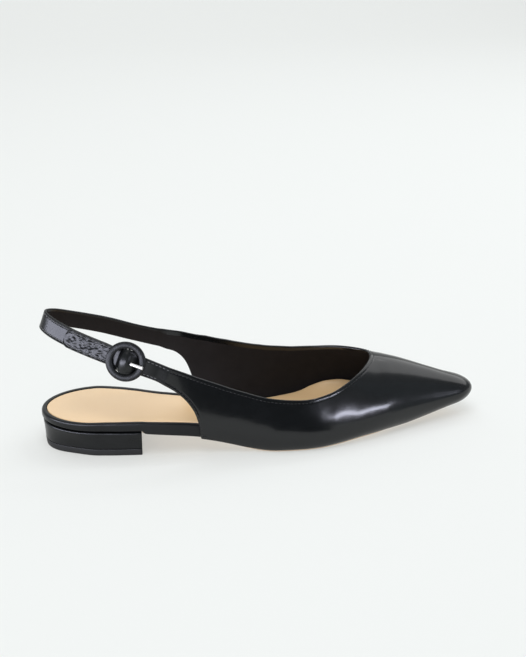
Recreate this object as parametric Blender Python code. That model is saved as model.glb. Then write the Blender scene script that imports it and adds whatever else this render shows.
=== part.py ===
"""A flat slingback pump with a pointed toe, for the right foot.

The shoe is built on the shape of its last: a plan of the footbed, a side line of the sole and a
set of cross-sections from the feather edge to the ridge of the foot. Sizes are in millimetres and
the meshes are written in metres. While it is built the shoe has its heel back at x = 0, its toe
towards +x, the inner side of the foot towards +y and the floor at z = 0.
"""

import math

import bmesh
import bpy
import numpy as np
from mathutils import Matrix

MM = 0.001

# Driving sizes
FOOTBED_LENGTH = 264.5
GAP = 0.3
SOLE_THICKNESS = 1.0
SOLE_PROUD = 1.0
SOLE_TUCK_WAIST = 4.0
SOLE_TUCK_TOE = 3.0
WALL = 1.6
SOCK_THICKNESS = 1.0
SOCK_BORDER_BACK = 3.2
SOCK_BORDER_OUTER = 2.5
SOCK_BORDER_INNER = 3.4
SOCK_RECESS = 1.5
SOCK_SPREAD = 1.2
HEEL_LENGTH = 58.0
HEEL_GROOVE_DEPTH = 1.6
HEEL_GROOVE_HEIGHT = 1.2
TOP_PIECE_HEIGHT = 4.3
HEEL_ROUND = 35.0
TOE_ROUND = 9.0
THROAT = 201.0
ROOT_GAP = 0.6
STRAP_WIDTH = 11.2
STRAP_THICKNESS = 1.3
BUCKLE_RADIUS = 11.6
BUCKLE_BAND = 4.1
BUCKLE_THICKNESS = 2.5
BAR_RADIUS = 0.8
PRONG_RADIUS = 0.7
FREE_END = 37.8
TIP_ROUND = 3.5

OUTER, INNER = -1, 1


class Table:
    """Rows of sizes, read between the rows on a smooth curve. The first column is the key."""

    def __init__(self, columns, rows):
        self.values = dict(zip(columns.split(), np.array(rows, float).T))
        self.key = next(iter(self.values.values()))

    def __call__(self, column, at):
        return smooth(self.key, self.values[column], at)


def smooth(keys, values, at, keep_between=True):
    """Cubic curve through the values. Its slope at each row is the mean of the slopes to the
    neighbouring rows: their harmonic mean where the curve must not pass beyond the rows."""
    at = np.clip(np.asarray(at, float), keys[0], keys[-1])
    steps = np.diff(keys)
    rises = np.diff(values, axis=0) / (steps[:, None] if values.ndim > 1 else steps)
    slopes = np.gradient(values, keys, axis=0)
    if keep_between:
        product = rises[:-1] * rises[1:]
        total = np.where(product > 0, rises[:-1] + rises[1:], 1)
        slopes[1:-1] = np.where(product > 0, 2 * product / total, 0)
    i = np.clip(np.searchsorted(keys, at, side="right") - 1, 0, len(keys) - 2)
    span = keys[i + 1] - keys[i]
    t = (at - keys[i]) / span
    if values.ndim > 1:
        t, span = t[..., None], span[..., None]
    blend = t * t * (3 - 2 * t)
    return (
        values[i] * (1 - blend)
        + values[i + 1] * blend
        + slopes[i] * span * t * (1 - t) ** 2
        - slopes[i + 1] * span * t * t * (1 - t)
    )


# Plan of the footbed: its middle line, and its breadth to the outer and the inner side of it
PLAN = Table(
    "station axis outer inner",
    [
        (0, 0.0, 27.6, 27.4),
        (32, 0.0, 27.6, 27.2),
        (45, 0.0, 28.8, 24.4),
        (60, 0.0, 30.0, 19.0),
        (75, 0.0, 30.6, 14.5),
        (90, 0.0, 30.3, 12.9),
        (105, 0.0, 30.1, 14.6),
        (120, 0.2, 31.4, 18.6),
        (140, 0.5, 34.8, 25.6),
        (155, 0.9, 35.6, 29.4),
        (170, 1.4, 33.8, 31.2),
        (185, 2.0, 30.2, 30.0),
        (200, 2.6, 25.6, 25.8),
        (215, 3.1, 20.2, 20.4),
        (230, 3.5, 14.8, 15.0),
        (245, 3.8, 10.0, 9.8),
        (255, 4.0, 7.6, 7.4),
        (264.5, 4.0, 5.8, 5.6),
    ],
)

# Side line: the underside of the outsole and the top of the footbed
SIDE = Table(
    "station sole bed",
    [
        (0, 15.6, 22.4),
        (25, 15.1, 22.4),
        (45, 14.5, 22.4),
        (57, 14.3, 22.3),
        (63, 13.1, 21.9),
        (75, 11.8, 21.1),
        (90, 9.7, 19.3),
        (100, 7.4, 17.2),
        (110, 4.6, 14.0),
        (120, 2.0, 11.0),
        (130, 0.4, 8.9),
        (137, 0.0, 8.0),
        (150, 0.0, 7.4),
        (163, 0.0, 7.3),
        (176, 0.7, 7.9),
        (190, 1.7, 8.9),
        (205, 2.2, 9.9),
        (220, 2.7, 10.8),
        (235, 4.5, 12.0),
        (250, 7.2, 13.8),
        (266, 10.6, 16.4),
    ],
)

# How far the sock turns up at its edges where it is pressed against the upper
SOCK_CLIMB = Table(
    "station outer inner",
    [
        (145, 0.0, 0.0),
        (155, 0.3, 0.3),
        (162, 0.8, 1.0),
        (171, 1.6, 3.4),
        (180, 2.2, 5.6),
        (187, 2.2, 5.8),
        (197, 1.6, 4.4),
        (215, 0.6, 1.6),
        (240, 0.0, 0.0),
    ],
)

# Cross-sections of the last above the feather edge: the ridge of the foot, and for each side how
# far the wall swells out, the height of that swell and the breadth of the shoulder at the ridge
LAST = Table(
    "station ridge_x ridge_y ridge_z outer_swell outer_rise outer_shoulder"
    " inner_swell inner_rise inner_shoulder",
    [
        (60, 60, 0.0, 118.0, 7.0, 36, 22, 24.0, 38, 24),
        (92, 92, 0.5, 106.0, 6.5, 27, 20, 24.0, 34, 25),
        (120, 120, 1.0, 90.0, 8.5, 18, 20, 20.0, 29, 26),
        (150, 150, 2.0, 71.5, 10.0, 12, 21, 12.0, 22, 25),
        (175, 175, 2.6, 57.4, 10.5, 9.8, 19.5, 10.5, 17, 22),
        (201, 201, 3.2, 44.3, 11.0, 10.5, 16, 10.0, 14, 17),
        (210, 210, 3.35, 41.9, 10.6, 10.5, 14.5, 9.5, 13, 15),
        (220, 219.5, 3.5, 39.1, 10.0, 10, 12.5, 9.0, 12, 13),
        (240, 237.8, 3.9, 32.3, 8.7, 8.5, 8.5, 8.2, 10, 9),
        (255, 250.3, 4.0, 27.6, 7.6, 8.0, 7, 7.2, 8.5, 7),
        (264.5, 255.4, 4.0, 25.9, 5.6, 7.5, 8, 5.6, 7.5, 8),
    ],
)

# Edges of the outer quarter from the strap root to the throat: the back edge, which runs down to
# the feather edge, and the topline
OUTER_QUARTER = Table(
    "row low_x low_z top_x top_z",
    [
        (0, 71.6, 47.0, 76.5, 55.6),
        (1, 78.6, 41.8, 84.5, 51.9),
        (2, 84.8, 35.2, 92.0, 48.5),
        (3, 89.3, 27.4, 99.5, 45.3),
        (4, 91.6, 19.0, 106.5, 42.5),
        (5, 92.4, 11.0, 114.0, 39.8),
        (6, 104.0, 0.0, 123.0, 36.9),
        (7, 120.0, 0.0, 134.0, 33.9),
        (8, 136.0, 0.0, 146.0, 31.9),
        (9, 150.0, 0.0, 156.5, 31.1),
        (10, 164.0, 0.0, 167.5, 32.3),
        (11, 178.0, 0.0, 179.5, 36.1),
        (12, 191.0, 0.0, 191.5, 40.6),
        (13, 201.0, 0.0, 201.0, 44.3),
    ],
)

# The same edges of the inner quarter, which is a little higher
INNER_QUARTER = Table(
    "row low_x low_z top_x top_z",
    [
        (0, 72.1, 45.4, 75.9, 56.5),
        (1, 79.8, 43.2, 84.0, 55.3),
        (2, 87.0, 38.0, 92.5, 53.7),
        (3, 92.0, 30.0, 101.0, 51.9),
        (4, 94.6, 20.5, 110.0, 50.1),
        (5, 95.4, 10.4, 119.0, 47.7),
        (6, 107.0, 0.0, 128.0, 45.3),
        (7, 122.0, 0.0, 139.0, 42.2),
        (8, 138.0, 0.0, 150.0, 40.1),
        (9, 152.0, 0.0, 160.0, 39.0),
        (10, 166.0, 0.0, 170.0, 39.4),
        (11, 179.0, 0.0, 181.0, 41.0),
        (12, 191.0, 0.0, 191.5, 42.7),
        (13, 201.0, 0.0, 201.0, 44.3),
    ],
)

# Middle line of the sling from the inner root round the heel to the outer root, and how far the
# strap leans in at its top edge
SLING_ROWS = [
    # x, y, z, lean in degrees
    (58.0, 26.6, 56.8, 7.0),
    (40.0, 22.6, 64.3, 10.0),
    (22.5, 16.2, 71.2, 14.0),
    (10.0, 9.3, 76.4, 18.0),
    (4.6, 0.3, 78.8, 20.0),
    (10.0, -9.0, 76.4, 18.0),
    (22.5, -16.8, 71.4, 15.0),
    (39.5, -23.7, 65.3, 14.0),
    (51.2, -27.4, 61.3, 14.0),
    (62.0, -29.9, 57.5, 10.0),
]
BUCKLE_ROW = 9


def station_share(x):
    """Where a station lies on a scale that crowds towards both ends of the footbed."""
    return np.arccos(np.clip(1 - 2 * np.asarray(x, float) / FOOTBED_LENGTH, -1, 1)) / np.pi


def footbed_edge(side, share):
    """Edge of the footbed in plan, rounded at heel and toe, with its outward normal."""

    def point(s):
        x = FOOTBED_LENGTH * (1 - np.cos(np.pi * s)) / 2
        heel = np.clip((HEEL_ROUND - x) / HEEL_ROUND, 0, 1)
        toe = np.clip((x - FOOTBED_LENGTH + TOE_ROUND) / TOE_ROUND, 0, 1)
        rounding = np.sqrt((1 - heel**2) * (1 - toe**2))
        breadth = PLAN("outer" if side == OUTER else "inner", x)
        return np.stack([x, PLAN("axis", x) + side * breadth * rounding], -1)

    share = np.asarray(share, float)
    ahead = point(np.clip(share + 1e-6, 0, 1)) - point(np.clip(share - 1e-6, 0, 1))
    normal = side * np.stack([-ahead[..., 1], ahead[..., 0]], -1)
    return point(share), normal / np.linalg.norm(normal, axis=-1, keepdims=True)


def feather_z(x):
    return SIDE("sole", x) + SOLE_THICKNESS + GAP


def last_point(side, x, rise_share):
    """Point of the upper's outer face: station along the foot, and share of the way up the
    section from the feather edge, 0, to the ridge, 1. Each section is one cubic Bezier."""
    x, t = np.broadcast_arrays(np.asarray(x, float), np.asarray(rise_share, float))
    edge, normal = footbed_edge(side, station_share(x))
    edge = edge + (WALL + GAP) * normal
    feather = np.concatenate([edge, feather_z(edge[..., :1])], -1)
    out = np.concatenate([normal, np.zeros_like(normal[..., :1])], -1)
    up = np.array([0.0, 0.0, 1.0])
    ridge = np.stack([LAST(name, x) for name in ("ridge_x", "ridge_y", "ridge_z")], -1)
    ahead = LAST("ridge_z", x + 0.5) - LAST("ridge_z", x - 0.5)
    slope = ahead / (LAST("ridge_x", x + 0.5) - LAST("ridge_x", x - 0.5))
    wall = "outer_" if side == OUTER else "inner_"
    swell, rise, shoulder = (LAST(wall + size, x)[..., None] for size in ("swell", "rise", "shoulder"))
    swollen = feather + swell * out + rise * up
    shouldered = ridge + shoulder * (out + (out[..., 0] * slope)[..., None] * up)
    t = t[..., None]
    return (
        (1 - t) ** 3 * feather
        + 3 * (1 - t) ** 2 * t * swollen
        + 3 * (1 - t) * t**2 * shouldered
        + t**3 * ridge
    )


def share_at_height(side, x, z):
    """Share of the way up the section at which the wall reaches a height."""
    low, high = np.zeros_like(x), np.ones_like(x)
    for _ in range(40):
        middle = (low + high) / 2
        above = last_point(side, x, middle)[..., 2] > z
        low, high = np.where(above, low, middle), np.where(above, middle, high)
    return (low + high) / 2


def quarter_grid(side, rows, columns):
    """Points of one side of the upper between its lower edge and its topline, from the strap
    root to the toe. Behind the throat the columns fan from edge to edge; ahead of it they are
    cross-sections up to the ridge."""
    table = OUTER_QUARTER if side == OUTER else INNER_QUARTER
    last_row = table.key[-1]
    fan = np.linspace(0, 1, columns)
    close = np.linspace(0, 1, columns // 3 + 2)
    row = np.concatenate([fan * (last_row - 2), last_row - 2 * (1 - close[1:]) ** 2])
    low_x, top_x = table("low_x", row), table("top_x", row)
    low = share_at_height(side, low_x, np.maximum(table("low_z", row), feather_z(low_x)))
    low[table("low_z", row) <= feather_z(low_x)] = 0
    top = share_at_height(side, top_x, table("top_z", row))
    top[-1] = 1
    vamp = station_share(THROAT) + (1 - station_share(THROAT)) * np.linspace(0, 1, columns // 2)[1:]
    vamp_x = FOOTBED_LENGTH * (1 - np.cos(np.pi * vamp)) / 2
    low_x, top_x = np.append(low_x, vamp_x), np.append(top_x, vamp_x)
    low = np.append(low, np.zeros_like(vamp))
    top = np.append(top, np.ones_like(vamp))
    v = np.linspace(0, 1, rows)
    x = low_x[:, None] * (1 - v) + top_x[:, None] * v
    share = low[:, None] * (1 - v) + top[:, None] * v
    return last_point(side, x, share)


def grid_faces(columns, rows, start=0, turned=False):
    faces = []
    for c in range(columns - 1):
        for r in range(rows - 1):
            a = start + c * rows + r
            face = (a, a + rows, a + rows + 1, a + 1)
            faces.append(face[::-1] if turned else face)
    return faces


def make_material(name, colour, roughness, metallic=0.0):
    material = bpy.data.materials.new(name)
    material.use_nodes = True
    shader = material.node_tree.nodes["Principled BSDF"]
    shader.inputs["Base Color"].default_value = (*colour, 1)
    shader.inputs["Roughness"].default_value = roughness
    shader.inputs["Metallic"].default_value = metallic
    return material


def add_part(name, points, faces, material, parent):
    """One closed piece of the shoe, from points in millimetres."""
    mesh = bpy.data.meshes.new(name)
    mesh.from_pydata(np.asarray(points) * MM, [], faces)
    bm = bmesh.new()
    bm.from_mesh(mesh)
    bmesh.ops.remove_doubles(bm, verts=bm.verts, dist=5e-6)
    bm.to_mesh(mesh)
    bm.free()
    mesh.shade_smooth()
    mesh.set_sharp_from_angle(angle=math.radians(35))
    mesh.materials.append(material)
    part = bpy.data.objects.new(name, mesh)
    bpy.context.scene.collection.objects.link(part)
    part.parent = parent
    return part


def add_layer(name, stations, levels, material, parent):
    """A piece cut to the plan of the footbed. Each level is how far it grows past the footbed's
    edge, by side and station, and its height, by station. An end short of the plan's is square."""
    share = station_share(stations)
    cut = np.array([[stations[0] > 0], [stations[-1] < FOOTBED_LENGTH]])
    loops = []
    for grow, height in levels:
        loop = []
        for side in (OUTER, INNER):
            edge, normal = footbed_edge(side, share)
            normal[[0, -1]] = np.where(cut, (0, side), normal[[0, -1]])
            edge = edge + grow(side, stations)[:, None] * normal
            z = np.broadcast_to(height(edge[:, 0]), share.shape)
            rim = np.concatenate([edge, z[:, None]], -1)
            loop.append(rim if side == OUTER else rim[::-1])
        loops.append(np.concatenate(loop))
    count = len(loops[0])
    faces = []
    for level in range(len(loops) - 1):
        for i in range(count):
            j = (i + 1) % count
            a, b = level * count + i, level * count + j
            faces.append((a, b, b + count, a + count))
    top = (len(loops) - 1) * count
    for i in range(len(stations) - 1):
        across = count - 1 - i
        faces.append((across, across - 1, i + 1, i))
        faces.append((top + i, top + i + 1, top + across - 1, top + across))
    return add_part(name, np.concatenate(loops), faces, material, parent)


def stations_between(first, last, count):
    """Stations that crowd towards the ends of the footbed, from one to another."""
    share = np.linspace(station_share(first), station_share(last), count)
    return FOOTBED_LENGTH * (1 - np.cos(np.pi * share)) / 2


def level(value):
    return lambda x: np.full_like(x, value)


def grown(value):
    return lambda side, x: np.full_like(x, value)


def ramp(x, first, last):
    """0 up to the first station and 1 from the last, eased between them."""
    share = np.clip((np.asarray(x, float) - first) / (last - first), 0, 1)
    return share**2 * (3 - 2 * share)


def sock_border(side, x):
    along_side = SOCK_BORDER_OUTER if side == OUTER else SOCK_BORDER_INNER
    return SOCK_BORDER_BACK + (along_side - SOCK_BORDER_BACK) * ramp(x, 2, 25)


def add_sock(stations, material, parent):
    """The sock: a sheet on the footbed, set in at the open heel and turned up inside the upper."""
    share = station_share(stations)
    inside = ramp(stations, 102, 116)
    edges, climbs = [], []
    for side, column in ((OUTER, "outer"), (INNER, "inner")):
        edge, normal = footbed_edge(side, share)
        climb = SOCK_CLIMB(column, stations)
        turned_up = np.clip(climb / 3, 0, 1)
        border = sock_border(side, stations)
        grow = -border + (border - 0.8) * inside + (0.8 + SOCK_SPREAD) * turned_up
        edges.append(edge + grow[:, None] * normal)
        climbs.append(climb)
    across = np.array([0, 0.04, 0.1, 0.2, 0.5, 0.8, 0.9, 0.96, 1])
    plan = edges[0][:, None] * (1 - across)[:, None] + edges[1][:, None] * across[:, None]
    bend = np.clip(np.abs(across - 0.5) / 0.15 - 2.0, 0, 4 / 3) * 0.75
    climb = np.where(across < 0.5, climbs[0][:, None], climbs[1][:, None]) * bend**2
    under = SIDE("bed", plan[..., 0]) - SOCK_RECESS + GAP + climb
    rows = len(across)
    sheets = [np.concatenate([plan, (under + lift)[..., None]], -1) for lift in (0, SOCK_THICKNESS)]
    points = np.concatenate([sheet.reshape(-1, 3) for sheet in sheets])
    columns = len(stations)
    top = columns * rows
    faces = grid_faces(columns, rows, 0, turned=True) + grid_faces(columns, rows, top)
    for c in range(columns - 1):
        a, b = c * rows, (c + 1) * rows
        faces.append((a, b, b + top, a + top))
        a, b = a + rows - 1, b + rows - 1
        faces.append((b, a, a + top, b + top))
    return add_part("insole_sock", points, faces, material, parent)


def heel_taper(back, sides, corner):
    """How far the heel is set in at its back, along its sides and at the corner between them."""

    def grow(side, x):
        return -back - (sides - back) * ramp(x, 0, 28) - corner * np.exp(-(((x - 15) / 13) ** 2))

    return grow


def add_sole_unit(materials, parent):
    """Outsole, footbed, sock, heel and its top piece."""
    under_bed = feather_z
    whole = stations_between(0, FOOTBED_LENGTH, 46)

    def bed(x):
        return SIDE("bed", x)

    def rim(x):
        return bed(x) - (SOCK_RECESS - 0.05) * ramp(x, 91, 100)

    def recess(side, x):
        return GAP - sock_border(side, x) * (1 - ramp(x, 240, 262)) - 2 * ramp(x, 240, 262)

    # A groove between rim and heel, which closes ahead of the heel
    def over_heel(x):
        return 1 - ramp(x, HEEL_LENGTH - 2, HEEL_LENGTH + 5)

    def groove(side, x):
        return -1.0 - HEEL_GROOVE_DEPTH * over_heel(x)

    # The sole's edge shows along the ball and is tucked in under the waist and the toe
    def sole_edge(side, x):
        waist, toe = 1 - ramp(x, 98, 128), ramp(x, 198, 222)
        return SOLE_PROUD - SOLE_TUCK_WAIST * waist - SOLE_TUCK_TOE * toe

    def sole_foot(side, x):
        return sole_edge(side, x) - 0.6

    add_layer(
        "footbed",
        whole,
        [
            (groove, under_bed),
            (groove, lambda x: under_bed(x) + 0.1 + HEEL_GROOVE_HEIGHT * over_heel(x)),
            (grown(0.0), lambda x: under_bed(x) + 0.8 + HEEL_GROOVE_HEIGHT * over_heel(x)),
            (grown(0.0), lambda x: rim(x) - 1.4),
            (grown(-0.4), lambda x: rim(x) - 0.4),
            (grown(-1.3), rim),
            (recess, rim),
            (recess, lambda x: bed(x) - SOCK_RECESS),
        ],
        materials["wrapped edge"],
        parent,
    )
    add_sock(whole, materials["sock leather"], parent)
    add_layer(
        "outsole",
        stations_between(HEEL_LENGTH + GAP, FOOTBED_LENGTH, 40),
        [
            (sole_foot, lambda x: SIDE("sole", x)),
            (sole_edge, lambda x: SIDE("sole", x) + 0.5),
            (sole_edge, lambda x: SIDE("sole", x) + SOLE_THICKNESS),
        ],
        materials["sole leather"],
        parent,
    )
    heel = stations_between(0, HEEL_LENGTH, 16)

    # The seat of the heel drops a little at the breast, where the footbed above it steps down
    def heel_seat(x):
        return under_bed(x) - GAP - 0.3 * ramp(x, HEEL_LENGTH - 6, HEEL_LENGTH)

    add_layer(
        "heel_block",
        heel,
        [
            (heel_taper(0.8, 2.1, 2.4), level(TOP_PIECE_HEIGHT + GAP)),
            (heel_taper(0.6, 1.2, 0.4), lambda x: heel_seat(x) - 0.8),
            (heel_taper(1.2, 1.8, 0.4), heel_seat),
        ],
        materials["covered heel"],
        parent,
    )
    add_layer(
        "heel_top_piece",
        heel,
        [
            (heel_taper(1.6, 2.9, 2.6), level(0.0)),
            (heel_taper(1.1, 2.4, 2.6), level(0.5)),
            (heel_taper(0.8, 2.1, 2.4), level(TOP_PIECE_HEIGHT)),
        ],
        materials["heel rubber"],
        parent,
    )


def add_upper(material, parent):
    """Vamp and quarters: one wall on the last, open at the throat, the back and underneath."""
    rows = 10
    points, faces = [], []
    for side in (OUTER, INNER):
        grid = quarter_grid(side, rows, 30)
        start = sum(len(p) for p in points)
        faces += grid_faces(len(grid), rows, start, turned=side == INNER)
        points.append(grid.reshape(-1, 3))
    upper = add_part("upper", np.concatenate(points), faces, material, parent)
    wall = upper.modifiers.new("Wall", "SOLIDIFY")
    wall.thickness = WALL * MM
    wall.offset = -1
    wall.use_even_offset = True
    return upper


def unit(vectors):
    return vectors / np.linalg.norm(vectors, axis=-1, keepdims=True)


class StrapLine:
    """Middle line of the sling, from the inner root round the heel to the outer root, with the
    strap's width and outward directions along it."""

    def __init__(self):
        ends = {}
        self.root_width = {}
        for side, table in ((INNER, INNER_QUARTER), (OUTER, OUTER_QUARTER)):
            x = np.array([table.values["low_x"][0], table.values["top_x"][0]])
            z = np.array([table.values["low_z"][0], table.values["top_z"][0]])
            edges = last_point(side, x, share_at_height(side, x, z))
            middle = edges.mean(axis=0) - (0, side * WALL / 2, 0)
            across = edges[1] - edges[0]
            self.root_width[side] = np.linalg.norm(across)
            lean = -side * math.degrees(math.asin(across[1] / self.root_width[side]))
            ends[side] = (*middle, lean)
        rows = np.array([ends[INNER], *SLING_ROWS, ends[OUTER]])
        row = np.linspace(0, len(rows) - 1, 800)
        self.points = smooth(np.arange(len(rows)), rows, row, keep_between=False)
        steps = np.linalg.norm(np.diff(self.points[:, :3], axis=0), axis=1)
        self.length = np.append(0, np.cumsum(steps))
        self.buckle = np.interp(BUCKLE_ROW, row, self.length)

    def at(self, u):
        """Point, forward, width and outward directions at a length along the line."""
        u = np.asarray(u, float)

        def read(s):
            return np.stack([np.interp(s, self.length, column) for column in self.points.T], -1)

        ahead, behind = np.minimum(u + 1.5, self.length[-1]), np.maximum(u - 1.5, 0)
        forward = unit((read(ahead) - read(behind))[..., :3])
        inward = unit(np.cross([0.0, 0.0, 1.0], forward))
        upright = np.cross(forward, inward)
        lean = np.radians(read(u)[..., 3:])
        width = np.cos(lean) * upright + np.sin(lean) * inward
        return read(u)[..., :3], forward, width, np.cross(forward, width)


def rounded_path(corners, radii, step=0.6):
    """Points of a line through corners, each rounded with an arc of its radius."""
    corners = [np.array(c, float) for c in corners]
    path = [corners[0]]
    for before, corner, after, radius in zip(corners, corners[1:], corners[2:], radii):
        a, b = unit(before - corner), unit(after - corner)
        half = math.acos(np.clip(a @ b, -1, 1)) / 2
        reach = radius / math.tan(half)
        centre = corner + unit(a + b) * radius / math.sin(half)
        start, end = corner + a * reach - centre, corner + b * reach - centre
        turn = math.atan2(start[0] * end[1] - start[1] * end[0], start @ end)
        count = max(3, math.ceil(abs(turn) * radius / step))
        for k in range(count + 1):
            c, s = math.cos(turn * k / count), math.sin(turn * k / count)
            path.append(centre + np.array([c * start[0] - s * start[1], s * start[0] + c * start[1]]))
    path.append(corners[-1])
    return np.array(path)


def spread(path, step):
    """The same path with points no further apart than the step."""
    out = [path[:1]]
    for a, b in zip(path, path[1:]):
        count = max(1, math.ceil(np.linalg.norm(b - a) / step))
        out.append(a + (b - a) * (np.arange(1, count + 1) / count)[:, None])
    return np.concatenate(out)


def strap_solid(name, line, path, width, thickness, material, parent):
    """A flat strap swept along a path of (length along the line, height off it)."""
    point, _, across, outward = line.at(path[:, 0])
    middle = point + path[:, 1:] * outward
    forward = unit(np.gradient(middle, axis=0))
    across = unit(across - (across * forward).sum(-1, keepdims=True) * forward)
    normal = np.cross(forward, across)
    half = np.broadcast_to(np.asarray(width, float), (len(path),))[:, None] / 2
    sheet = thickness / 2
    corners = [
        middle + half * across + sheet * normal,
        middle - half * across + sheet * normal,
        middle - half * across - sheet * normal,
        middle + half * across - sheet * normal,
    ]
    count = len(path)
    points = np.stack(corners, 1).reshape(-1, 3)
    faces = [(3, 2, 1, 0), tuple(4 * (count - 1) + k for k in range(4))]
    for i in range(count - 1):
        for k in range(4):
            a, b = 4 * i + k, 4 * i + (k + 1) % 4
            faces.append((a, b, b + 4, a + 4))
    return add_part(name, points, faces, material, parent)


def helper(name, build, matrix):
    """A hidden cutter or joining shape, made by a bmesh builder in its own frame."""
    mesh = bpy.data.meshes.new(name)
    bm = bmesh.new()
    build(bm)
    bmesh.ops.transform(bm, matrix=matrix, verts=bm.verts)
    bmesh.ops.recalc_face_normals(bm, faces=bm.faces)
    bm.to_mesh(mesh)
    bm.free()
    tool = bpy.data.objects.new(name, mesh)
    bpy.context.scene.collection.objects.link(tool)
    tool.hide_render = True
    tool.display_type = "WIRE"
    return tool


def combine(part, tool, operation):
    tool.parent = part.parent
    modifier = part.modifiers.new(tool.name, "BOOLEAN")
    modifier.object = tool
    modifier.operation = operation


def add_straps_and_buckle(materials, parent):
    line = StrapLine()
    u0 = line.buckle
    sheet = STRAP_THICKNESS
    front_level = sheet + GAP
    ring_level = front_level + sheet / 2 + GAP + BUCKLE_THICKNESS / 2
    eye = BAR_RADIUS + GAP + sheet / 2
    hump = eye + sheet + GAP
    steep = math.radians(70)
    foot = (ring_level + hump / math.cos(steep) - front_level) / math.tan(steep)

    # The sling runs under the ring and round the bar, which it holds in an eye
    bend = 3.6
    pitch = math.atan2(ring_level, bend) - math.asin(eye / math.hypot(ring_level, bend))
    turns = np.linspace(pitch - math.pi / 2, math.radians(168), 14)
    eye_path = np.stack([u0 + eye * np.cos(turns), ring_level + eye * np.sin(turns)], -1)
    slope = rounded_path([(u0 - 14, 0), (u0 - bend, 0), eye_path[0]], [3.0])
    body = spread(np.array([(ROOT_GAP, 0.0), (u0 - 14, 0.0)]), 2.4)
    path = np.concatenate([body, slope[1:], eye_path[1:]])
    inner_width = line.root_width[INNER]
    root_share = np.clip(1 - path[:, 0] / 20, 0, 1)
    sling_width = STRAP_WIDTH + (inner_width - STRAP_WIDTH) * root_share
    sling = strap_solid("sling_strap", line, path, sling_width, sheet, materials["strap"], parent)

    # The front strap comes from the outer root, under the ring, over the bar and on to its end
    hump_path = rounded_path(
        [
            (u0 - FREE_END, front_level),
            (u0 - foot, front_level),
            (u0, ring_level + hump / math.cos(steep)),
            (u0 + foot, front_level),
            (u0 + 13, front_level),
            (u0 + 21, 0),
            (line.length[-1] - ROOT_GAP, 0),
        ],
        [1.5, hump, 1.5, 30, 30],
    )
    tip = u0 - FREE_END + TIP_ROUND * (1 - np.cos(np.linspace(0, math.pi / 2, 7)))
    tip_path = np.stack([tip, np.full_like(tip, front_level)], -1)
    path = np.concatenate([tip_path, spread(np.concatenate([tip_path[-1:], hump_path[1:]]), 2.4)[1:]])
    to_root = np.clip((path[:, 0] - u0 - 8) / (line.length[-1] - u0 - 8), 0, 1)
    outer_width = line.root_width[OUTER]
    front_width = STRAP_WIDTH + (outer_width - STRAP_WIDTH) * np.sqrt(to_root)
    from_tip = np.clip(1 - (path[:, 0] - tip[0]) / TIP_ROUND, 0, 1)
    front_width -= 2 * TIP_ROUND * (1 - np.sqrt(1 - from_tip**2))
    front = strap_solid("front_strap", line, path, front_width, sheet, materials["strap"], parent)

    # Frame at the middle of the buckle: forward, across the strap, outward
    point, forward, across, outward = line.at(np.array([u0]))
    basis = np.stack([forward[0], across[0], outward[0]], -1)
    place = Matrix.Identity(4)
    for i in range(3):
        place[i][:3] = basis[i]
        place[i][3] = (point[0] + ring_level * outward[0])[i] * MM

    def ring(bm):
        middle = (BUCKLE_RADIUS - BUCKLE_BAND / 2) * MM
        profile = []
        for k in range(10):
            turn = 2 * math.pi * k / 10
            across_band = middle + BUCKLE_BAND / 2 * MM * math.cos(turn)
            profile.append(bm.verts.new((across_band, 0, BUCKLE_THICKNESS / 2 * MM * math.sin(turn))))
        edges = [bm.edges.new((profile[k], profile[(k + 1) % 10])) for k in range(10)]
        bmesh.ops.spin(
            bm, geom=profile + edges, cent=(0, 0, 0), axis=(0, 0, 1),
            angle=2 * math.pi, steps=36, use_merge=True,
        )
        bmesh.ops.remove_doubles(bm, verts=bm.verts, dist=5e-6)

    def rod(radius, length):
        def build(bm):
            bmesh.ops.create_cone(
                bm, cap_ends=True, segments=12, radius1=radius * MM, radius2=radius * MM,
                depth=length * MM,
            )
        return build

    frame_tool = helper("buckle_frame", ring, place)
    frame_tool.hide_render = False
    frame_tool.display_type = "TEXTURED"
    frame_tool.parent = parent
    frame_tool.data.materials.append(materials["buckle"])
    frame_tool.data.shade_smooth()
    bar_length = 2 * (BUCKLE_RADIUS - BUCKLE_BAND / 2)
    bar = helper("bar", rod(BAR_RADIUS, bar_length), place @ Matrix.Rotation(math.pi / 2, 4, "X"))
    combine(frame_tool, bar, "UNION")

    # A slot in the sling's eye for the prong, and the hole in the front strap it passes through
    def box(size_x, size_y, size_z):
        def build(bm):
            bmesh.ops.create_cube(bm, size=1)
            bmesh.ops.scale(bm, vec=(size_x * MM, size_y * MM, size_z * MM), verts=bm.verts)
        return build

    slot_width = 2 * (PRONG_RADIUS + GAP) + 0.4
    combine(sling, helper("prong_slot", box(7.0, slot_width, 7.0), place), "DIFFERENCE")
    prong_lift = BAR_RADIUS + GAP + PRONG_RADIUS
    tip_lift = BUCKLE_THICKNESS / 2 + GAP + PRONG_RADIUS
    hole_at = Matrix.Translation((3.2 * MM, 0, (prong_lift + 0.06) * MM))
    hole = helper(
        "prong_hole", rod(PRONG_RADIUS + GAP, 4.4), place @ hole_at @ Matrix.Rotation(math.pi / 2, 4, "Y")
    )
    combine(front, hole, "DIFFERENCE")

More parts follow.
